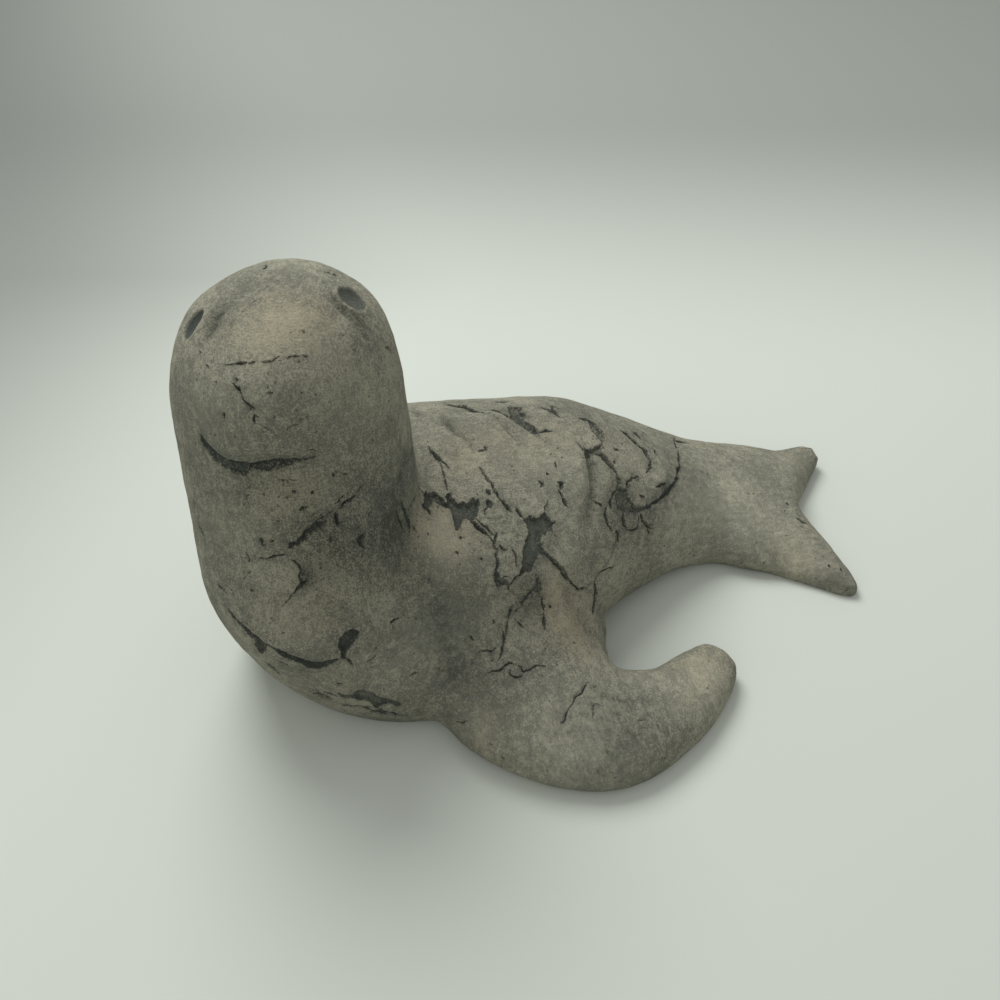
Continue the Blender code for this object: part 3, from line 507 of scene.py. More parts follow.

# Soft marks: centre in the picture, reach in mm, strength. Over 0 they are stains of smoke, and
# some of them are painted shade; below 0 is paler clay, and some of them are a painted
# highlight.
STAINS = [
    (216, 318, 5, 0.15), (350, 310, 6, 0.2), (367, 338, 6, 0.25), (285, 281, 8, 0.22),
    (250, 284, 6, 0.25), (318, 288, 6, 0.22), (262, 459, 3, 0.2), (280, 459, 3, 0.2),
    (296, 458, 2.5, 0.2), (240, 475, 4, 0.3), (375, 460, 10, 0.15), (350, 400, 16, -0.4),
    # Painted shade: the marks at (395, 500), (398, 530), (385, 540), (405, 560), (412, 460),
    # (440, 610), (448, 645) and (462, 670) darken the valley between the neck and the shoulder.
    (280, 430, 14, 0.12), (330, 555, 12, 0.1), (620, 705, 10, 0.35), (395, 500, 8, 0.55),
    (398, 530, 8, 0.55), (385, 540, 7, 0.35), (405, 560, 9, 0.4), (338, 545, 7, 0.3),
    (316, 572, 7, 0.4), (440, 610, 11, 0.22), (448, 645, 10, 0.35), (462, 670, 9, 0.4),
    (430, 600, 8, 0.2), (412, 460, 7, 0.4), (237, 568, 7, 0.3), (468, 575, 8, 0.3),
    (490, 600, 8, 0.25), (500, 690, 12, 0.15), (532, 575, 6, 0.45), (522, 590, 5, 0.4),
    (535, 612, 6, 0.4), (525, 640, 9, 0.15), (600, 476, 5, 0.25), (592, 460, 5, 0.45),
    (624, 496, 5, 0.4), (622, 525, 5, 0.4), (612, 500, 5, 0.3), (648, 512, 5, 0.3),
    (668, 492, 5, 0.3), (690, 470, 9, 0.25), (640, 545, 9, 0.2), (600, 560, 6, 0.15),
    (622, 600, 9, 0.2), (612, 728, 15, 0.55), (540, 740, 12, 0.18), (670, 735, 9, 0.2),
    (500, 412, 5, 0.2), (520, 415, 5, 0.3), (553, 410, 4, 0.25), (500, 500, 5, 0.2),
    (550, 535, 5, 0.25), (575, 590, 5, 0.2), (560, 495, 6, 0.2), (832, 577, 4, 0.4),
    (795, 462, 9, -0.25), (255, 650, 5, 0.2), (330, 700, 5, 0.3), (420, 715, 9, 0.35),
    (192, 470, 8, 0.2), (330, 640, 6, -0.15), (230, 540, 13, -0.4), (480, 725, 9, -0.3),
    (215, 400, 14, -0.3), (300, 490, 12, -0.35), (290, 320, 15, -0.12), (265, 575, 6, -0.25),
    (300, 470, 9, -0.1), (275, 505, 9, -0.2), (330, 490, 6, -0.2), (280, 615, 9, -0.2),
    # Painted highlight: (440, 525) and (455, 550) paint the lit bulge of the shoulder pale.
    (325, 600, 6, -0.15), (380, 610, 8, -0.15), (350, 680, 7, -0.2), (440, 525, 9, -0.85),
    (455, 550, 10, -0.5), (430, 560, 8, -0.3), (465, 465, 10, -0.3), (480, 560, 8, -0.2),
    (490, 440, 9, -0.3), (530, 470, 11, -0.3), (545, 450, 8, -0.25), (565, 440, 8, -0.3),
    (553, 590, 5, -0.5), (562, 612, 6, -0.4), (575, 640, 6, -0.3), (635, 455, 7, -0.2),
    (590, 520, 9, -0.1), (720, 470, 12, -0.05), (780, 520, 14, -0.15), (810, 560, 9, -0.25),
    (780, 465, 10, -0.1), (690, 680, 12, -0.3), (715, 665, 8, -0.25), (640, 690, 10, -0.15),
    (560, 775, 8, -0.25), (500, 745, 8, -0.2), (475, 722, 6, -0.2), (270, 310, 12, -0.25),
    (300, 320, 10, -0.2), (260, 330, 9, -0.15), (640, 770, 8, -0.1), (700, 720, 8, -0.05),
]
# Where the buff clay shows warmer: centre in the picture, reach in mm, strength.
WARM = [
    (291, 322, 8, 0.8), (278, 312, 10, 0.35), (305, 480, 9, 0.3), (280, 500, 9, 0.3),
    (290, 618, 9, 0.3), (330, 612, 9, 0.25), (437, 522, 8, 0.7), (450, 545, 9, 0.5),
    (462, 460, 9, 0.3), (493, 440, 9, 0.25), (556, 592, 6, 0.5), (566, 615, 7, 0.55),
    (578, 640, 7, 0.45), (700, 665, 9, 0.3), (808, 565, 9, 0.3), (345, 680, 7, 0.3),
    (560, 430, 9, 0.2), (610, 440, 6, 0.15), (320, 560, 8, 0.2), (480, 740, 8, 0.25),
]
# Where the clay is coarser (over 0) or drawn smooth (under 0), in the same terms.
COARSE = [
    (290, 262, 12, -0.3), (600, 720, 14, -0.3), (570, 480, 10, -0.2),
    (300, 490, 14, 0.5), (345, 520, 14, 0.35), (300, 600, 16, 0.1), (370, 580, 16, 0.2),
    (445, 530, 12, 0.35), (330, 420, 12, 0.1), (440, 640, 13, -0.3), (400, 520, 10, -0.2),
    (700, 490, 18, -0.35), (760, 510, 18, -0.2), (790, 465, 12, -0.2), (810, 560, 14, -0.2),
    (700, 680, 14, -0.2), (560, 770, 16, -0.2), (195, 400, 14, -0.1), (575, 640, 10, 0.3),
]


def linear(code):
    """The linear red, green and blue of an sRGB hex colour such as #8d8b79."""
    parts = np.array([int(code[place:place + 2], 16) for place in (1, 3, 5)]) / 255
    low = parts / 12.92
    high = ((parts + 0.055) / 1.055) ** 2.4
    return tuple(float(part) for part in np.where(parts <= 0.04045, low, high))


def unit(vectors):
    """The same directions at length one."""
    return vectors / np.maximum(np.linalg.norm(vectors, axis=-1, keepdims=True), 1e-9)


def curve_rows(rows, count):
    """Rows of numbers as one smooth run: a Catmull-Rom cubic between each row and the next."""
    given = np.array(rows, float)
    last = len(given) - 1
    place = np.linspace(0, last, count)
    low = np.clip(place.astype(int), 0, last - 1)
    part = (place - low)[:, None]
    padded = np.vstack([2 * given[0] - given[1], given, 2 * given[-1] - given[-2]])
    before, start, end, after = (padded[low + step] for step in range(4))
    square = 2 * before - 5 * start + 4 * end - after
    cube = 3 * start - before - 3 * end + after
    return 0.5 * (2 * start + (end - before) * part + square * part**2 + cube * part**3)


def level_skin(rows):
    """A skin over level rings: centre + half width * cos(a) across + reach * sin(a) ahead,
    where a runs round the ring and the reach differs in front and behind."""
    run = curve_rows(rows, RINGS_PER_ROW * len(rows))
    z, x, y, half, front, back, turn = (column[:, None] for column in run.T)
    angle = np.linspace(0, 2 * math.pi, RING_POINTS, endpoint=False)[None, :]
    across, ahead = np.radians(turn + 90), np.radians(turn)
    reach = np.where(np.sin(angle) > 0, front, back) * np.sin(angle)
    wide = half * np.cos(angle)
    level_x = x + wide * np.sin(across) + reach * np.sin(ahead)
    level_y = y - wide * np.cos(across) - reach * np.cos(ahead)
    return np.stack([level_x, level_y, np.broadcast_to(z, level_x.shape)], axis=-1)


def upright_skin(rows):
    """A skin over rings standing across the way their centres run: centre + half width *
    cos(a) across + rise or depth * sin(a) up."""
    run = curve_rows(rows, RINGS_PER_ROW * len(rows))
    way = unit(np.gradient(run[:, :2], axis=0))
    x, y, z, half, rise, depth = (column[:, None] for column in run.T)
    angle = np.linspace(0, 2 * math.pi, RING_POINTS, endpoint=False)[None, :]
    wide = half * np.cos(angle)
    tall = np.where(np.sin(angle) > 0, rise, depth) * np.sin(angle)
    return np.stack([x + wide * way[:, 1:], y - wide * way[:, :1], z + tall], axis=-1)


def closed_faces(rings, points, start):
    """The faces of a closed skin: a quad for each cell of its grid and a cap at each end."""
    ring, point = np.meshgrid(np.arange(rings - 1), np.arange(points), indexing="ij")
    after = (point + 1) % points
    corners = (ring * points + point, ring * points + after)
    corners += ((ring + 1) * points + after, (ring + 1) * points + point)
    quads = np.stack(corners, axis=-1).reshape(-1, 4) + start
    first = np.arange(points)[::-1] + start
    last = np.arange(points) + (rings - 1) * points + start
    return quads.tolist() + [first.tolist(), last.tolist()]


def scaled(rows, *sizes):
    """Rows of shares turned to millimetres: each column times its own size."""
    return np.array(rows, float) * np.array(sizes, float)


def skins(sizes):
    """The grids of points of every lofted skin, in millimetres."""
    crown, head = sizes.crown_height / MM, sizes.head_width / MM
    chest, reach = sizes.chest_width / MM, sizes.body_reach / MM
    shoulders, back = sizes.shoulder_width / MM, sizes.back_height / MM
    fin, fluke = sizes.flipper_breadth / MM, sizes.fluke_breadth / MM
    upright = [scaled(CHEST, crown, *[chest] * 5, 1), scaled(HEAD, crown, *[head] * 5, 1)]
    made = [level_skin(np.vstack(upright)), level_skin(scaled(MUZZLE, crown, *[head] * 5, 1))]
    for rows, limb, breadth in (
        (TRUNK, shoulders, shoulders),
        (LEFT_FLIPPER, sizes.left_reach / MM, fin),
        (RIGHT_FLIPPER, sizes.right_reach / MM, fin),
        (NEAR_FLUKE, sizes.fluke_spread / MM, fluke),
        (FAR_FLUKE, sizes.fluke_spread / MM, fluke),
    ):
        made.append(upright_skin(scaled(rows, limb, reach, back, breadth, back, back)))
    return made


def lump_mesh(sizes):
    """All skins fused by a voxel remesh and drawn smooth, then cut flat at the floor."""
    grids = skins(sizes)
    points, faces = [], []
    for grid in grids:
        faces += closed_faces(grid.shape[0], grid.shape[1], sum(len(done) for done in points))
        points.append(grid.reshape(-1, 3))
    data = bpy.data.meshes.new("lump")
    data.from_pydata((np.vstack(points) * MM).tolist(), [], faces)
    thing = bpy.data.objects.new("lump", data)
    bpy.context.scene.collection.objects.link(thing)
    tidy = bmesh.new()
    tidy.from_mesh(data)
    bmesh.ops.recalc_face_normals(tidy, faces=tidy.faces)
    tidy.to_mesh(data)
    tidy.free()
    fuse = thing.modifiers.new("fuse", "REMESH")
    fuse.mode = "VOXEL"
    fuse.voxel_size = FUSE_VOXEL * MM
    smooth = thing.modifiers.new("smooth", "SMOOTH")
    smooth.factor = 0.5
    smooth.iterations = round((SMOOTH_REACH / FUSE_VOXEL) ** 2)
    depsgraph = bpy.context.evaluated_depsgraph_get()
    fused = bpy.data.meshes.new_from_object(thing.evaluated_get(depsgraph))
    bpy.data.objects.remove(thing)
    bpy.data.meshes.remove(data)
    mesh = bmesh.new()
    mesh.from_mesh(fused)
    bpy.data.meshes.remove(fused)
    whole = mesh.verts[:] + mesh.edges[:] + mesh.faces[:]
    bmesh.ops.bisect_plane(
        mesh, geom=whole, dist=1e-6, plane_co=(0, 0, 0), plane_no=(0, 0, -1), clear_outer=True
    )
    rim = [edge for edge in mesh.edges if edge.is_boundary]
    bmesh.ops.triangle_fill(mesh, edges=rim, use_beauty=True, normal=(0, 0, -1))
    return mesh


def bumps(places, size, seed):
    """Smooth random heights from -1 to 1: random numbers at the corners of cubes `size` mm
    wide, blended between them with the curve 3t^2 - 2t^3."""
    table = np.random.default_rng(seed).uniform(-1, 1, (32, 32, 32))
    grid = places / size + 256
    low = np.floor(grid).astype(int)
    part = grid - low
    part = part * part * (3 - 2 * part)
    total = np.zeros(len(places))
    for corner in np.ndindex(2, 2, 2):
        weight = np.prod(np.where(corner, part, 1 - part), axis=1)
        total += weight * table[tuple(((low + corner) % 32).T)]
    return total


def sight_lines(marks):
    """The directions from the camera through points of the picture."""
    turn, lift = math.radians(AZIMUTH), math.radians(ELEVATION)
    level = np.array([-math.sin(turn), math.cos(turn), 0.0])
    rise = np.array([0.0, 0.0, 1.0])
    right = np.array([math.cos(turn), math.sin(turn), 0.0])
    ahead = level * math.cos(lift) - rise * math.sin(lift)
    up = level * math.sin(lift) + rise * math.cos(lift)
    slopes = (np.atleast_2d(np.array(marks, float)) - PICTURE / 2) / FOCUS
    return unit(ahead + slopes[:, :1] * right - slopes[:, 1:] * up)


def seen(skin, marks):
    """Where points of the picture lie on the skin, in mm, and the ways out there."""
    spots, outs = [], []
    for line in sight_lines(marks):
        spot, out, _, _ = skin.ray_cast(Vector(EYE), Vector(line))
        if spot is not None:
            spots.append(np.array(spot) / MM)
            outs.append(np.array(out))
    if not spots:
        raise ValueError("no part of a drawn line lies on the seal")
    return np.array(spots), unit(np.array(outs))


def drawn(skin, marks, step=LINE_STEP):
    """A drawn line at even steps over the skin: its points and the ways out."""
    corners = np.array(marks, float)
    lengths = np.linalg.norm(np.diff(corners, axis=0), axis=1)
    along = np.concatenate([[0.0], np.cumsum(lengths)])
    places = np.linspace(0, along[-1], max(4, round(along[-1] / step)))
    line = np.stack([np.interp(places, along, corners[:, axis]) for axis in (0, 1)], axis=-1)
    return seen(skin, line)


class Skin:
    """The lump's points and ways out, with the heights and marks worked into them."""

    def __init__(self, points, outs):
        self.points = points
        self.outs = outs
        self.rise = np.zeros(len(points))
        self.sink = np.zeros(len(points))
        self.tear = np.full(len(points), NO_TEAR)
        self.slate = np.zeros(len(points))
        self.stain = np.zeros(len(points))
        self.warm = np.zeros(len(points))
        self.pale = np.zeros(len(points))
        self.coarse = np.full(len(points), USUAL_COARSE)

    def near(self, spots, reach):
        """Which points lie in the box round the spots, widened by the reach."""
        low, high = spots.min(axis=0) - reach, spots.max(axis=0) + reach
        return np.flatnonzero(np.all((self.points > low) & (self.points < high), axis=1))

    def nearest(self, picked, spots):
        """For each picked point the distance to the line, and which of its points is nearest."""
        gaps = self.points[picked][:, None, :] - spots[None, :, :]
        squares = np.einsum("ijk,ijk->ij", gaps, gaps)
        which = squares.argmin(axis=1)
        return np.sqrt(squares[np.arange(len(picked)), which]), which

    def crack(self, spots, outs, width, depth, step, seed):
        """A torn line that jogs to and fro: inside, the depth falls with the 0.6 power of the
        way in from the edge; outside, one side stands `step` higher, fading slowly."""
        way = unit(np.gradient(spots, axis=0))
        sides = unit(np.cross(outs, way))
        jog = (0.16 + 0.14 * width) * bumps(spots, 1.1, seed + 3)
        spots = spots + sides * jog[:, None]
        picked = self.near(spots, 12.0)
        gap, which = self.nearest(picked, spots)
        share = which / (len(spots) - 1)
        taper = np.sin(math.pi * np.clip(share, 0.03, 0.97)) ** 0.4
        jag = 1 + 0.55 * bumps(spots, 0.9, seed) + 0.4 * bumps(spots, 2.6, seed + 1)
        half = 0.5 * width * taper * np.clip(jag, 0.3, 2.0)[which]
        places = self.points[picked]
        edge = gap - half + 0.10 * min(1.0, width) * bumps(places, 0.6, seed + 2)
        inside = np.clip(-edge / np.maximum(half, 0.05), 0, 1) ** 0.6
        self.sink[picked] = np.maximum(self.sink[picked], 0.75 * depth * taper * inside)
        self.tear[picked] = np.minimum(self.tear[picked], edge)
        offset = self.points[picked] - spots[which]
        side = np.einsum("ij,ij->i", sides[which], offset)
        upper = np.clip(side / np.maximum(gap, 0.05) * 2, -1, 1) * 0.5 + 0.5
        ends = np.sin(math.pi * share) ** 0.7
        beyond = np.maximum(edge, 0)
        self.rise[picked] += step * ends * upper * np.exp(-beyond / 4.5)
        lip = np.exp(-((beyond - 0.2) / 0.3) ** 2) * ends * upper * (edge > 0)
        self.rise[picked] += 0.12 * lip
        # Painted highlight: the raised lip is painted pale where its edge catches the light.
        self.pale[picked] = np.maximum(self.pale[picked], lip * min(1.0, step + 0.4))
        rolled = np.exp(-beyond / 0.9) * ends * (1 - 0.7 * upper)
        self.rise[picked] -= 0.3 * min(depth, 1.5) * rolled
        halo = np.exp(-beyond / (0.35 + 0.8 * width)) * ends * min(1.0, 0.25 + 0.3 * width)
        self.stain[picked] = np.maximum(self.stain[picked], 0.6 * halo * (1 - 0.5 * upper))

    def outline(self, spots, outs):
        """The points near a closed outline, with their distance in from it (over 0 inside),
        measured in the plane that lies along the skin there."""
        centre, out = spots.mean(axis=0), unit(outs.sum(axis=0))
        across = unit(np.cross(out, [0.3, 0.2, 1.0]))
        along = np.cross(out, across)
        flat = np.stack([(spots - centre) @ across, (spots - centre) @ along], axis=-1)
        picked = self.near(spots, 6.0)
        picked = picked[self.outs[picked] @ out > 0.25]
        offset = self.points[picked] - centre
        place = np.stack([offset @ across, offset @ along], axis=-1)
        gap = np.full(len(picked), 1e9)
        within = np.zeros(len(picked), bool)
        for start, end in zip(flat, np.roll(flat, -1, axis=0)):
            way = end - start
            share = np.clip((place - start) @ way / max(way @ way, 1e-9), 0, 1)
            gap = np.minimum(gap, np.linalg.norm(place - start - share[:, None] * way, axis=1))
            spans = (start[1] > place[:, 1]) != (end[1] > place[:, 1])
            rise = end[1] - start[1] if abs(end[1] - start[1]) > 1e-9 else 1e-9
            within ^= spans & (place[:, 0] < start[0] + (place[:, 1] - start[1]) * way[0] / rise)
        return picked, np.where(within, gap, -gap)

    def pocket(self, spots, outs, depth, slip, seed):
        """A torn-out hollow: it falls from its ragged edge as 3t^2 - 2t^3 to a rough floor,
        and its tear never reads deeper than the slip in it is thick."""
        picked, inner = self.outline(spots, outs)
        places = self.points[picked]
        inner = inner + 0.12 + 0.34 * bumps(places, 0.8, seed)
        inner += 0.26 * bumps(places, 2.0, seed + 1)
        fall = np.clip(inner / (0.45 + 0.25 * depth), 0, 1)
        fall = fall * fall * (3 - 2 * fall)
        rough = 1 + 0.2 * bumps(places, 1.6, seed + 2)
        self.sink[picked] = np.maximum(self.sink[picked], 0.7 * depth * fall * rough)
        self.tear[picked] = np.minimum(self.tear[picked], -np.minimum(inner, slip))
        lip = np.exp(-((-inner - 0.3) / 0.45) ** 2)
        self.rise[picked] += 0.15 * lip
        # Painted highlight: the lip round the edge is painted pale.
        self.pale[picked] = np.maximum(self.pale[picked], 0.6 * lip)
        halo = 0.5 * np.exp(np.minimum(inner, 0) / 1.2)
        self.stain[picked] = np.maximum(self.stain[picked], halo)

    def eye(self, spot, tip, out, width, depth, slate):
        """An oval dent, depth * (1.25 * (1 - r^2))^0.7 held at depth, with a thin rim pushed up
        round r = 1 and painted pale as a highlight, and a floor as grey as `slate` says."""
        axis = tip - spot
        axis = axis - out * (axis @ out)
        length = np.linalg.norm(axis)
        long_way = axis / length
        short_way = np.cross(out, long_way)
        picked = self.near(spot[None, :], 2.5 * length)
        offset = self.points[picked] - spot
        ratio = np.hypot(offset @ long_way / length, offset @ short_way / (width / 2))
        flat = np.clip(1.25 * (1 - ratio**2), 0, 1) ** 0.7
        self.sink[picked] = np.maximum(self.sink[picked], depth * flat)
        rim = np.exp(-((ratio - 1.13) / 0.09) ** 2)
        self.rise[picked] += 0.25 * rim
        # Painted highlight: the rim is painted pale.
        self.pale[picked] = np.maximum(self.pale[picked], 2.2 * rim)
        grey = slate * np.clip((1.02 - ratio) / 0.1, 0, 1)
        self.slate[picked] = np.maximum(self.slate[picked], grey)

    def fold(self, spots, half, depth, smoke_shade_and_highlight):
        """A finger-drawn groove or ridge: depth * exp(-(gap / half width)^2)."""
        picked = self.near(spots, 3 * half)
        gap, which = self.nearest(picked, spots)
        share = which / (len(spots) - 1)
        ends = np.sin(math.pi * np.clip(share, 0.02, 0.98)) ** 0.6
        bell = np.exp(-((gap / half) ** 2)) * ends
        self.rise[picked] -= depth * bell
        # The groove is darkened with smoke and painted shade; under 0 the ridge is painted pale,
        # a painted highlight.
        self.stain[picked] += smoke_shade_and_highlight * bell

    def blot(self, spot, reach, strength, name):
        """A soft round mark: strength * exp(-(gap / reach)^2)."""
        picked = self.near(spot[None, :], 2.6 * reach)
        gap = np.linalg.norm(self.points[picked] - spot, axis=1)
        getattr(self, name)[picked] += strength * np.exp(-((gap / reach) ** 2))


def eye_ring(spot, tip, out, width):
    """The edge of an oval: spot + long way * cos(a) + short way * sin(a)."""
    axis = tip - spot
    axis = axis - out * (axis @ out)
    short = np.cross(out, unit(axis)) * width / 2
    angle = np.linspace(0, 2 * math.pi, 60)[:, None]
    return spot + axis * np.cos(angle) + short * np.sin(angle)


def all_cracks():
    """Every row of the crack tables, in the order in which they are cut."""
    return (
        FACE_CRACKS + CHEST_CRACKS + SHOULDER_CRACKS + FLIPPER_CRACKS + BACK_CRACKS
        + DEEP_CRACKS
    )


def refine(mesh, lines, reach):
    """Splits the edges near the lines in two, so that narrow cracks have points to lie on."""
    points = np.array([vert.co for vert in mesh.verts]) / MM
    close = np.zeros(len(points), bool)
    for spots in lines:
        low, high = spots.min(axis=0) - reach, spots.max(axis=0) + reach
        picked = np.flatnonzero(np.all((points > low) & (points < high), axis=1) & ~close)
        if len(picked):
            gaps = np.linalg.norm(points[picked][:, None, :] - spots[None, ::2, :], axis=2)
            close[picked[gaps.min(axis=1) < reach]] = True
    mesh.edges.ensure_lookup_table()
    ends = np.array([[edge.verts[0].index, edge.verts[1].index] for edge in mesh.edges])
    chosen = np.flatnonzero(close[ends].all(axis=1))
    bmesh.ops.subdivide_edges(
        mesh, edges=[mesh.edges[i] for i in chosen], cuts=1, use_grid_fill=True
    )
    mesh.verts.index_update()


def grain_shares(points):
    """How much each point belongs to the trunk and tail, and to the left flipper: smooth
    steps along the body and out from the middle, so that the wiped grain can turn."""
    def step(value, start, end):
        part = np.clip((value - start) / (end - start), 0, 1)
        return part * part * (3 - 2 * part)
    trunk = step(points[:, 1], 28, 50) * step(100 - points[:, 2], 25, 45)
    flipper = step(points[:, 0], 34, 52) * step(50 - points[:, 2], 8, 26)
    return np.clip(trunk, 0, 1), np.clip(flipper, 0, 1)


def work_skin(mesh, lump, relief):
    """Lays every feature on the skin and moves its points out or in along their normals."""
    points = np.array([vert.co for vert in mesh.verts]) / MM
    outs = np.array([vert.normal for vert in mesh.verts])
    skin = Skin(points, outs)
    for half, depth, smoke_shade_and_highlight, marks in FOLDS:
        skin.fold(drawn(lump, marks)[0], half, depth, smoke_shade_and_highlight)
    for number, (width, depth, step, marks) in enumerate(all_cracks()):
        skin.crack(*drawn(lump, marks), width, depth, step, 100 + 3 * number)
    for number, (depth, slip, marks) in enumerate(POCKETS):
        outline = drawn(lump, marks + marks[:1], OUTLINE_STEP)
        skin.pocket(*outline, depth, slip, 500 + 3 * number)
    for centre, tip, width, depth, slate in EYES:
        spots, ways = seen(lump, [centre, tip])
        skin.eye(spots[0], spots[1], ways[0], width, depth, slate)
    for marks, name in ((STAINS, "stain"), (WARM, "warm"), (COARSE, "coarse")):
        for across, down, reach, strength in marks:
            skin.blot(seen(lump, (across, down))[0][0], reach, strength, name)
    broad = 0.22 * bumps(points, 13.0, 1) + 0.15 * bumps(points, 6.0, 2)
    fine = 0.10 * bumps(points, 2.6, 3) + 0.05 * bumps(points, 1.3, 4)
    still = np.clip(1 - 2.0 * skin.slate, 0, 1)
    height = relief / MM * (broad + fine) * still + skin.rise - skin.sink - DRAWN_IN
    height *= np.clip(points[:, 2] / FOOT_HEIGHT, 0, 1)
    moved = points + outs * height[:, None]
    low, high = (np.array(corner) / MM for corner in CAD_BOX)
    moved = np.clip(moved, low + BOX_GAP, high - BOX_GAP)
    lifted = np.maximum(moved[:, 2], FLOOR_GAP)
    moved[:, 2] = np.where(points[:, 2] < FLOOR_GAP, 0.0, lifted)
    return moved * MM, skin


def make_seal(context):
    """The whole seal as one closed mesh with its marks as attributes."""
    sizes = context.scene.seal_sizes
    mesh = lump_mesh(sizes)
    lump = BVHTree.FromBMesh(mesh)
    lines = [drawn(lump, marks)[0] for _, _, _, marks in all_cracks()]
    rims = [drawn(lump, marks + marks[:1])[0] for _, _, marks in POCKETS]
    for centre, tip, width, _, _ in EYES:
        spots, ways = seen(lump, [centre, tip])
        rims.append(eye_ring(spots[0], spots[1], ways[0], width))
    for reach in SPLIT_REACHES:
        refine(mesh, lines + rims, reach)
    refine(mesh, lines, LAST_SPLIT)
    bmesh.ops.triangulate(mesh, faces=[face for face in mesh.faces if len(face.verts) > 4])
    mesh.normal_update()
    for edge in mesh.edges:
        edge.smooth = len(edge.link_faces) != 2 or edge.calc_face_angle(0.0) < SHARP_TURN
    moved, skin = work_skin(mesh, lump, sizes.relief)
    data = bpy.data.meshes.new("seal_body")
    mesh.to_mesh(data)
    mesh.free()
    data.vertices.foreach_set("co", moved.ravel())
    trunk, flipper = grain_shares(skin.points)
    marks = {
        "tear": skin.tear, "slate": skin.slate, "stain": skin.stain, "warm": skin.warm,
        "pale": skin.pale, "coarse": skin.coarse, "trunk": trunk, "flipper": flipper,
    }
    for name, values in marks.items():
        data.attributes.new(name, "FLOAT", "POINT").data.foreach_set("value", values)
    data.shade_smooth()
    data.update()
    seal = bpy.data.objects.new("seal_body", data)
    context.scene.collection.objects.link(seal)
    return seal


def add(tree, kind, settings=(), links=()):
    """Adds one node: `settings` are its own properties, `links` its inputs, each either a
    value or the output that feeds it. Gives the node back."""
    node = tree.nodes.new(kind)
    for name, value in dict(settings).items():
        setattr(node, name, value)
    for name, value in dict(links).items():
        if isinstance(value, bpy.types.NodeSocket):
            tree.links.new(value, node.inputs[name])
        else:
            node.inputs[name].default_value = value
    return node


# The words of the recipes below: for each the node, its settings, the inputs that a step's
# values go to in turn, and the output that the step stands for.
WORDS = {
    "multiply": ("ShaderNodeMath", {"operation": "MULTIPLY"}, (0, 1), 0),
    "plus": ("ShaderNodeMath", {"operation": "ADD"}, (0, 1), 0),
    "minus": ("ShaderNodeMath", {"operation": "SUBTRACT"}, (0, 1), 0),
    "scale_add": ("ShaderNodeMath", {"operation": "MULTIPLY_ADD"}, (0, 1, 2), 0),
    "larger": ("ShaderNodeMath", {"operation": "MAXIMUM"}, (0, 1), 0),
    "power": ("ShaderNodeMath", {"operation": "POWER"}, (0, 1), 0),
    "size_of": ("ShaderNodeMath", {"operation": "ABSOLUTE"}, (0,), 0),
    "clamp": ("ShaderNodeClamp", {}, (0, 1, 2), 0),
    "slope": ("ShaderNodeMapRange", {"interpolation_type": "SMOOTHSTEP"}, range(5), 0),
    "layer": ("ShaderNodeMix", {"data_type": "RGBA"}, (0, 6, 7), 2),
    "between": ("ShaderNodeMix", {}, (0, 2, 3), 0),
    "turned": ("ShaderNodeMapping", {}, ("Vector", "Rotation", "Scale"), 0),
    "noise": (
        "ShaderNodeTexNoise", {}, ("Vector", "Scale", "Detail", "Roughness", "Distortion"), 0
    ),
    "tinted_noise": ("ShaderNodeTexNoise", {}, ("Vector", "Scale"), 1),
    "nudged": ("ShaderNodeVectorMath", {"operation": "MULTIPLY_ADD"}, (0, 1, 2), 0),
}


def follow(tree, steps, made):
    """Adds a node for each step of a recipe: the name of what it makes, its word, and its
    values, of which a name stands for what an earlier step made."""
    for name, word, *values in steps:
        kind, settings, inputs, output = WORDS[word]
        values = [made[value] if isinstance(value, str) else value for value in values]
        made[name] = add(tree, kind, settings, zip(inputs, values)).outputs[output]


# Scales of the noises are cells to the metre. Mottling: blots of 2.5 mm, grit of half a
# millimetre and finer, strongest where the clay is coarse, clouds of 22 mm under both, and a
# wiped grain 1.3 mm wide, drawn out to four or five times that: upright on the neck, along
# the trunk and tail, outward on the left flipper. "tone" is their sum, over a half if pale.
MOTTLING = (
    ("blots", "noise", "place", 400.0, 6.0, 0.7, 0.2),
    ("grit", "noise", "place", 1900.0, 3.0, 0.75),
    ("clouds", "noise", "place", 45.0, 3.0, 0.55, 0.4),
    ("upright", "turned", "place", (0.25, 0.0, 0.0), (1.0, 1.0, 0.25)),
    ("along", "turned", "place", (0.0, 0.0, 0.0), (1.0, 0.2, 1.0)),
    ("outward", "turned", "place", (0.0, 0.0, -0.7), (0.2, 1.0, 1.0)),
    ("upright", "noise", "upright", 760.0, 4.0, 0.7),
    ("along", "noise", "along", 760.0, 4.0, 0.7),
    ("outward", "noise", "outward", 760.0, 4.0, 0.7),
    ("streaks", "between", "trunk", "upright", "along"),
    ("streaks", "between", "flipper", "streaks", "outward"),
    ("tone", "scale_add", "blots", 0.7, -0.9),
    ("tone", "scale_add", "streaks", 0.5, "tone"),
    ("tone", "scale_add", "clouds", 0.6, "tone"),
    ("speck", "minus", "grit", 0.5),
    ("speck", "multiply", "speck", "coarse"),
    ("tone", "scale_add", "speck", 1.5, "tone"),
    ("strong", "scale_add", "coarse", 0.9, 0.6),
    ("tone", "scale_add", "tone", "strong", 0.585),
    ("light", "slope", "tone", 0.22, 0.76),
    ("peak", "slope", "tone", 0.56, 0.86),
    ("colour", "layer", "light", "smoke_colour", "clay_colour"),
    ("colour", "layer", "peak", "colour", "bare_colour"),
)
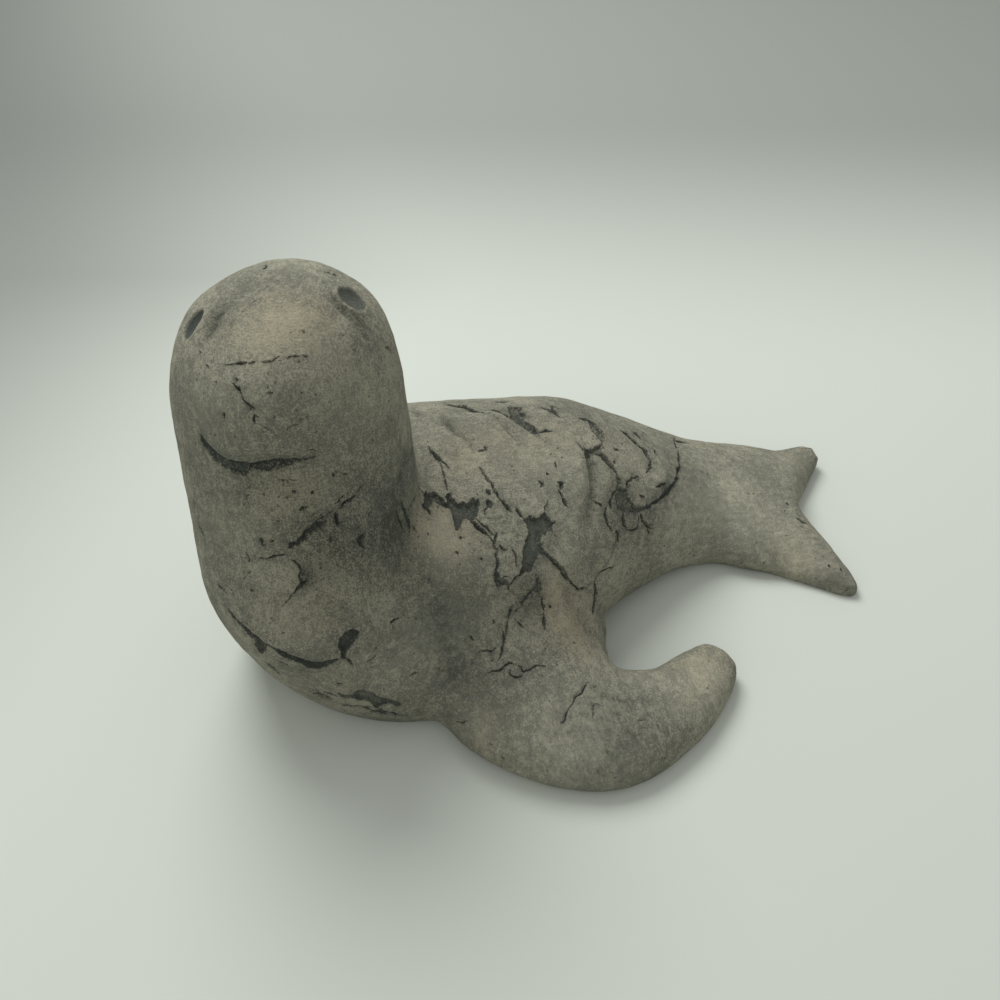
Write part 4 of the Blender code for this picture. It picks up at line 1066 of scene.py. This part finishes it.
# Warm buff where the smoke was thin, soft stains and painted shade, and pale dust and painted
# highlight where a stain is under 0.
STAINING = (
    ("patchy", "slope", "tone", 0.38, 0.62, 0.15, 0.6),
    ("warm", "multiply", "warm", "patchy"),
    ("colour", "layer", "warm", "colour", "warm_colour"),
    ("patchy", "slope", "tone", 0.3, 0.7, 1.2, 0.55),
    ("dark", "larger", "stain", 0.0),
    ("dark", "multiply", "dark", "patchy"),
    ("dark", "clamp", "dark", 0.0, 0.92),
    ("colour", "layer", "dark", "colour", "stain_and_shade_colour"),
    ("fair", "multiply", "stain", -1.0),
    ("fair", "larger", "fair", 0.0),
    ("fair", "power", "fair", 1.5),
    ("dust_and_highlight_tint", "layer", "light", "bare_colour", "dust_and_highlight_colour"),
    ("colour", "layer", "fair", "colour", "dust_and_highlight_tint"),
)
# Pin-holes about half a millimetre across: cells of 1.8 mm, pushed about by a finer noise,
# of which the rarer ones are opened, more of them where the clay is coarse.
WANDER = (
    ("wander", "tinted_noise", "place", 900.0),
    ("shifted", "nudged", "wander", (0.0016, 0.0016, 0.0016), "place"),
)
PIN_HOLES = (
    ("chance", "scale_add", "coarse", 0.3, "rarity"),
    ("open", "slope", "chance", 1.01, 1.05),
    ("size", "scale_add", "spread", 0.14, 0.04),
    ("rim", "plus", "size", 0.12),
    ("hole", "slope", "distance", "size", "rim", 1.0, 0.0),
    ("hole", "multiply", "hole", "open"),
    ("soot", "multiply", "hole", 0.75),
    ("colour", "layer", "soot", "colour", "stain_and_shade_colour"),
)
# The eyes' flat slate, the pale rims and torn lips painted as highlights, then the slip left in
# the tears. Crumbs of 0.9 mm make the tears' edges ragged; the slip is darkest by the edges,
# partly as painted shade under their overhang, and thin and silted paler further in.
TEARING = (
    ("slate", "multiply", "slate", 0.9),
    ("colour", "layer", "slate", "colour", "eye_colour"),
    ("crumbs", "noise", "place", 1100.0, 4.0, 0.75),
    ("crumbled", "slope", "crumbs", 0.45, 0.68, 0.0, 0.8),
    ("pale", "multiply", "pale", "crumbled"),
    ("colour", "layer", "pale", "colour", "lip_highlight_colour"),
    ("ragged", "minus", "crumbs", 0.5),
    ("ragged", "scale_add", "ragged", 1.3, "tear"),
    ("torn", "slope", "ragged", -0.12, 0.12, 0.95, 0.0),
    ("inner", "minus", "tone", 0.5),
    ("inner", "scale_add", "inner", 2.4, "ragged"),
    ("inner", "scale_add", "speck", 2.0, "inner"),
    ("silted_clear_of_shade", "slope", "inner", -0.2, -1.8),
    ("worn", "slope", "tone", 0.5, 0.8, 1.0, 0.6),
    ("torn", "multiply", "torn", "worn"),
    ("slip", "layer", "silted_clear_of_shade", "slip_and_edge_shade_colour", "silt_colour"),
    ("colour", "layer", "torn", "colour", "slip"),
)
# Height in millimetres for the bump, and a roughness that follows the wiped grain.
GRAIN_HEIGHT = (
    ("height", "multiply", "blots", 0.5),
    ("height", "scale_add", "streaks", 0.35, "height"),
    ("height", "scale_add", "speck", 1.1, "height"),
    ("height", "scale_add", "hole", -0.2, "height"),
    ("height", "multiply", "height", "strong"),
    ("rough", "slope", "streaks", 0.2, 0.8, 0.84, 0.97),
)


def stoneware(finish):
    """Unglazed buff stoneware, hand-modelled, smoked and wiped back. The eye sees a dry matte
    skin mottled grey on buff at two to three millimetres, short wiped streaks, pin-holes of half
    a millimetre, nearly black slip left in the tears, darkest by their edges where shade is
    painted in too, and paler clay painted on their lips as a highlight. Grooves and hollows are
    darkened with smoke and painted shade, and lit bulges and ridges are painted paler as
    highlights."""
    clay = bpy.data.materials.new("smoke_stained_stoneware")
    clay.use_nodes = True
    tree = clay.node_tree
    shader = tree.nodes["Principled BSDF"]
    made = {"place": add(tree, "ShaderNodeTexCoord").outputs["Object"]}
    for name in ("tear", "slate", "stain", "warm", "pale", "coarse", "trunk", "flipper"):
        settings = {"attribute_name": name}
        made[name] = add(tree, "ShaderNodeAttribute", settings).outputs["Fac"]
    for name in finish.__annotations__:
        made[name] = (*getattr(finish, name), 1)
    follow(tree, MOTTLING + STAINING + WANDER, made)
    cells = add(
        tree, "ShaderNodeTexVoronoi", {}, {"Vector": made["shifted"], "Scale": 560.0}
    ).outputs
    lot = add(tree, "ShaderNodeSeparateColor", {}, {0: cells["Color"]}).outputs
    made.update(distance=cells["Distance"], rarity=lot[0], spread=lot[1])
    follow(tree, PIN_HOLES + TEARING + GRAIN_HEIGHT, made)
    bump = add(
        tree, "ShaderNodeBump", {}, {"Strength": 1.0, "Distance": MM, "Height": made["height"]}
    )
    tree.links.new(made["colour"], shader.inputs["Base Color"])
    tree.links.new(bump.outputs[0], shader.inputs["Normal"])
    tree.links.new(made["rough"], shader.inputs["Roughness"])
    shader.inputs["Specular IOR Level"].default_value = 0.25
    return clay


def pale_floor(look):
    """A smooth painted board: matte, pale grey-green, with painted shade that greys it far off
    where the light falls away, and a painted shadow of the room over its far left.
    """
    board = bpy.data.materials.new("painted_board")
    board.use_nodes = True
    tree = board.node_tree
    shader = tree.nodes["Principled BSDF"]
    made = {"place": add(tree, "ShaderNodeTexCoord").outputs["Object"]}
    for name in look.__annotations__:
        if name.endswith("colour"):
            made[name] = (*getattr(look, name), 1)
    square_on = (0.0, 0.0, -math.radians(AZIMUTH))
    follow(tree, (("turned", "turned", "place", square_on),), made)
    parts = add(tree, "ShaderNodeSeparateXYZ", {}, {0: made["turned"]}).outputs
    made.update(across=parts["X"], depth=parts["Y"])
    # Painted shade: the floor greys far off as the light falls away, and a painted shadow lies
    # over its far left.
    follow(tree, (
        ("far", "slope", "depth", FAR_FROM, FAR_TO),
        ("colour", "layer", "far", "floor_colour", "far_shade_colour"),
        ("aside", "minus", "depth", DIM_DEPTH),
        ("aside", "size_of", "aside"),
        ("aside", "scale_add", "aside", DIM_BEND, "across"),
        ("dim", "slope", "aside", DIM_FROM, DIM_TO, 0.0, DIM_MOST),
        ("colour", "layer", "dim", "colour", "room_shadow_colour"),
    ), made)
    tree.links.new(made["colour"], shader.inputs["Base Color"])
    shader.inputs["Roughness"].default_value = 0.9
    shader.inputs["Specular IOR Level"].default_value = 0.1
    return board


def make_floor(context):
    """A flat board: x = u, y = v over a square, just below the height 0 of the seal's foot."""
    count = FLOOR_CELLS + 1
    side = np.linspace(-FLOOR_SIDE, FLOOR_SIDE, count)
    across, along = np.meshgrid(side, side, indexing="ij")
    points = np.stack([across, along, np.full(across.shape, -FLOOR_DROP)], axis=-1)
    points = points.reshape(-1, 3)
    row, column = np.meshgrid(np.arange(FLOOR_CELLS), np.arange(FLOOR_CELLS), indexing="ij")
    first = (row * count + column).ravel()
    data = bpy.data.meshes.new("floor")
    corners = np.stack([first, first + count, first + count + 1, first + 1], axis=-1)
    data.from_pydata(points.tolist(), [], corners.tolist())
    floor = bpy.data.objects.new("floor", data)
    context.scene.collection.objects.link(floor)
    return floor


def make_lamp(context, name, place, aim, size, power):
    """A round soft lamp at a place, turned towards what it is aimed at."""
    lamp = bpy.data.lights.new(name, "AREA")
    lamp.shape = "DISK"
    lamp.size = size
    lamp.energy = power
    holder = bpy.data.objects.new(name, lamp)
    holder.location = place
    way = Vector(aim) - Vector(place)
    holder.rotation_euler = way.to_track_quat("-Z", "Y").to_euler()
    context.scene.collection.objects.link(holder)


def make_camera(context):
    """The camera that the picture was taken with, and the scene's own."""
    lens = bpy.data.cameras.new("camera")
    lens.sensor_width = SENSOR
    lens.lens = FOCUS / PICTURE * SENSOR
    lens.clip_start = 0.01
    holder = bpy.data.objects.new("camera", lens)
    holder.location = EYE
    holder.rotation_euler = (math.radians(90 - ELEVATION), 0.0, math.radians(AZIMUTH))
    context.scene.collection.objects.link(holder)
    context.scene.camera = holder


def make_world(context, look):
    """An even pale sky; what the camera sees of it is the far floor's colour, painted shade
    included.
    """
    world = bpy.data.worlds.new("soft_room")
    world.use_nodes = True
    tree = world.node_tree
    glow = tree.nodes["Background"]
    glow.inputs["Color"].default_value = (*look.sky_colour, 1)
    glow.inputs["Strength"].default_value = look.sky_strength
    shown = add(tree, "ShaderNodeBackground", {}, {0: (*look.far_shade_colour, 1), 1: 1.0})
    path = add(tree, "ShaderNodeLightPath").outputs
    made = {"seen": path["Is Camera Ray"], "mirrored": path["Is Glossy Ray"]}
    made["through"] = path["Is Transmission Ray"]
    follow(tree, (
        ("seen", "larger", "seen", "mirrored"),
        ("seen", "larger", "seen", "through"),
    ), made)
    links = {0: made["seen"], 1: glow.outputs[0], 2: shown.outputs[0]}
    both = add(tree, "ShaderNodeMixShader", {}, links)
    tree.links.new(both.outputs[0], tree.nodes["World Output"].inputs["Surface"])
    context.scene.world = world


def length(name, description, size):
    """A length in metres that a user may change."""
    return FloatProperty(
        name=name, description=description, default=size, min=0.001, unit="LENGTH"
    )


def colour(name, description, code):
    """A colour that a user may change, from its sRGB hex code."""
    return FloatVectorProperty(
        name=name, description=description, default=linear(code), size=3, min=0, max=1,
        subtype="COLOR",
    )


class SealSizes(bpy.types.PropertyGroup):
    """Sizes of the modelled seal."""

    crown_height: length("Crown height", "From the floor to the top of the head", 0.124)
    head_width: length("Head width", "Across the neck and head", 0.058)
    chest_width: length("Chest width", "Across the chest", 0.084)
    body_reach: length("Body reach", "From the neck to the tips of the tail", 0.189)
    shoulder_width: length("Shoulder width", "Across the trunk at the shoulders", 0.100)
    back_height: length("Back height", "From the floor to the top of the back", 0.060)
    left_reach: length("Left reach", "How far the left flipper lies out", 0.074)
    right_reach: length("Right reach", "How far the right flipper lies out", 0.062)
    flipper_breadth: length("Flipper breadth", "Across a front flipper's root", 0.066)
    fluke_spread: length("Fluke spread", "How far the tail's flukes spread", 0.062)
    fluke_breadth: length("Fluke breadth", "Across a fluke's root", 0.044)
    relief: length("Relief", "Height of the hand-worked unevenness", 0.001)


class SealFinish(bpy.types.PropertyGroup):
    """Colours of the smoked clay."""

    smoke_colour: colour("Smoke", "Smoked clay between the blots", "#75766a")
    clay_colour: colour("Clay", "The clay's common grey-buff", "#999886")
    bare_colour: colour("Bare", "Clay wiped nearly bare", "#b4b19c")
    # Also the painted highlight on lit bulges and ridges.
    dust_and_highlight_colour: colour("Dust", "Pale dry clay dust rubbed into the skin", "#cfc9ad")
    warm_colour: colour("Warm", "Buff showing warm", "#b3a486")
    # Also the painted shade in grooves and in the valley between neck and shoulder.
    stain_and_shade_colour: colour("Stain", "Smoke gathered in hollows", "#53564c")
    # Dark slip in the tears; in the wide pockets it also paints the shade along their edges.
    slip_and_edge_shade_colour: colour("Slip", "Dark slip left in the tears", "#434943")
    silt_colour: colour("Silt", "Where that slip is thin", "#5b625b")
    # Painted highlight on the torn lips and on the rims of the pockets and eyes.
    lip_highlight_colour: colour("Lip", "Torn lips and rubbed rims", "#b2af9d")
    eye_colour: colour("Eye", "The flat floor of the eyes", "#565d56")


class StageLook(bpy.types.PropertyGroup):
    """Colours and light of the plain stage."""

    floor_colour: colour("Floor", "The floor round the seal", "#ccd2c8")
    # Painted shade: the floor far behind, greyed where the light falls off; the camera also sees
    # it past the floor.
    far_shade_colour: colour("Far floor", "The floor far behind", "#959a93")
    # Painted shadow of the room over the floor's far left.
    room_shadow_colour: colour("Dim floor", "The floor's dim far left", "#616460")
    sky_colour: colour("Sky", "The even light all round", "#ffffff")
    sky_strength: FloatProperty(
        name="Sky strength", description="Strength of the even light", default=0.5, min=0
    )
    lamp_power: FloatProperty(
        name="Lamp", description="Power of the overhead lamp", default=7.6, min=0, unit="POWER"
    )
    window_power: FloatProperty(
        name="Window", description="Power of the soft window light", default=1.3, min=0,
        unit="POWER",
    )


class SEAL_OT_body(bpy.types.Operator):
    """Make the seal from its sizes and colours"""

    bl_idname = "seal.body"
    bl_label = "Make the seal"

    def execute(self, context):
        seal = make_seal(context)
        seal.data.materials.append(stoneware(context.scene.seal_finish))
        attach(seal, "root")
        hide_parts(NODE)
        return {"FINISHED"}


class SEAL_OT_stage(bpy.types.Operator):
    """Make the floor, the lamps, the sky and the camera"""

    bl_idname = "seal.stage"
    bl_label = "Make the stage"

    def execute(self, context):
        look = context.scene.seal_stage
        floor = make_floor(context)
        floor.data.materials.append(pale_floor(look))
        make_world(context, look)
        make_lamp(context, "overhead", *OVERHEAD, look.lamp_power)
        make_lamp(context, "window", *WINDOW, look.window_power)
        make_camera(context)
        context.scene.view_settings.view_transform = "Standard"
        return {"FINISHED"}


class SEAL_PT_panel(bpy.types.Panel):
    """The seal's sizes, colours and stage"""

    bl_label = "Seal figurine"
    bl_idname = "SEAL_PT_panel"
    bl_space_type = "VIEW_3D"
    bl_region_type = "UI"
    bl_category = "Seal"

    def draw(self, context):
        scene = context.scene
        for group in (scene.seal_sizes, scene.seal_finish, scene.seal_stage):
            box = self.layout.box()
            for name in group.__annotations__:
                box.prop(group, name)
        self.layout.operator(SEAL_OT_body.bl_idname)
        self.layout.operator(SEAL_OT_stage.bl_idname)


CLASSES = (SealSizes, SealFinish, StageLook, SEAL_OT_body, SEAL_OT_stage, SEAL_PT_panel)


def register():
    """Registers the classes and gives the scene its three groups of settings."""
    for part in CLASSES:
        bpy.utils.register_class(part)
    bpy.types.Scene.seal_sizes = PointerProperty(type=SealSizes)
    bpy.types.Scene.seal_finish = PointerProperty(type=SealFinish)
    bpy.types.Scene.seal_stage = PointerProperty(type=StageLook)


def unregister():
    """Takes away all that register put in."""
    del bpy.types.Scene.seal_stage
    del bpy.types.Scene.seal_finish
    del bpy.types.Scene.seal_sizes
    for part in reversed(CLASSES):
        bpy.utils.unregister_class(part)


def main():
    """Makes the seal and its stage."""
    register()
    bpy.ops.seal.body()
    bpy.ops.seal.stage()


if __name__ == "__main__":
    main()
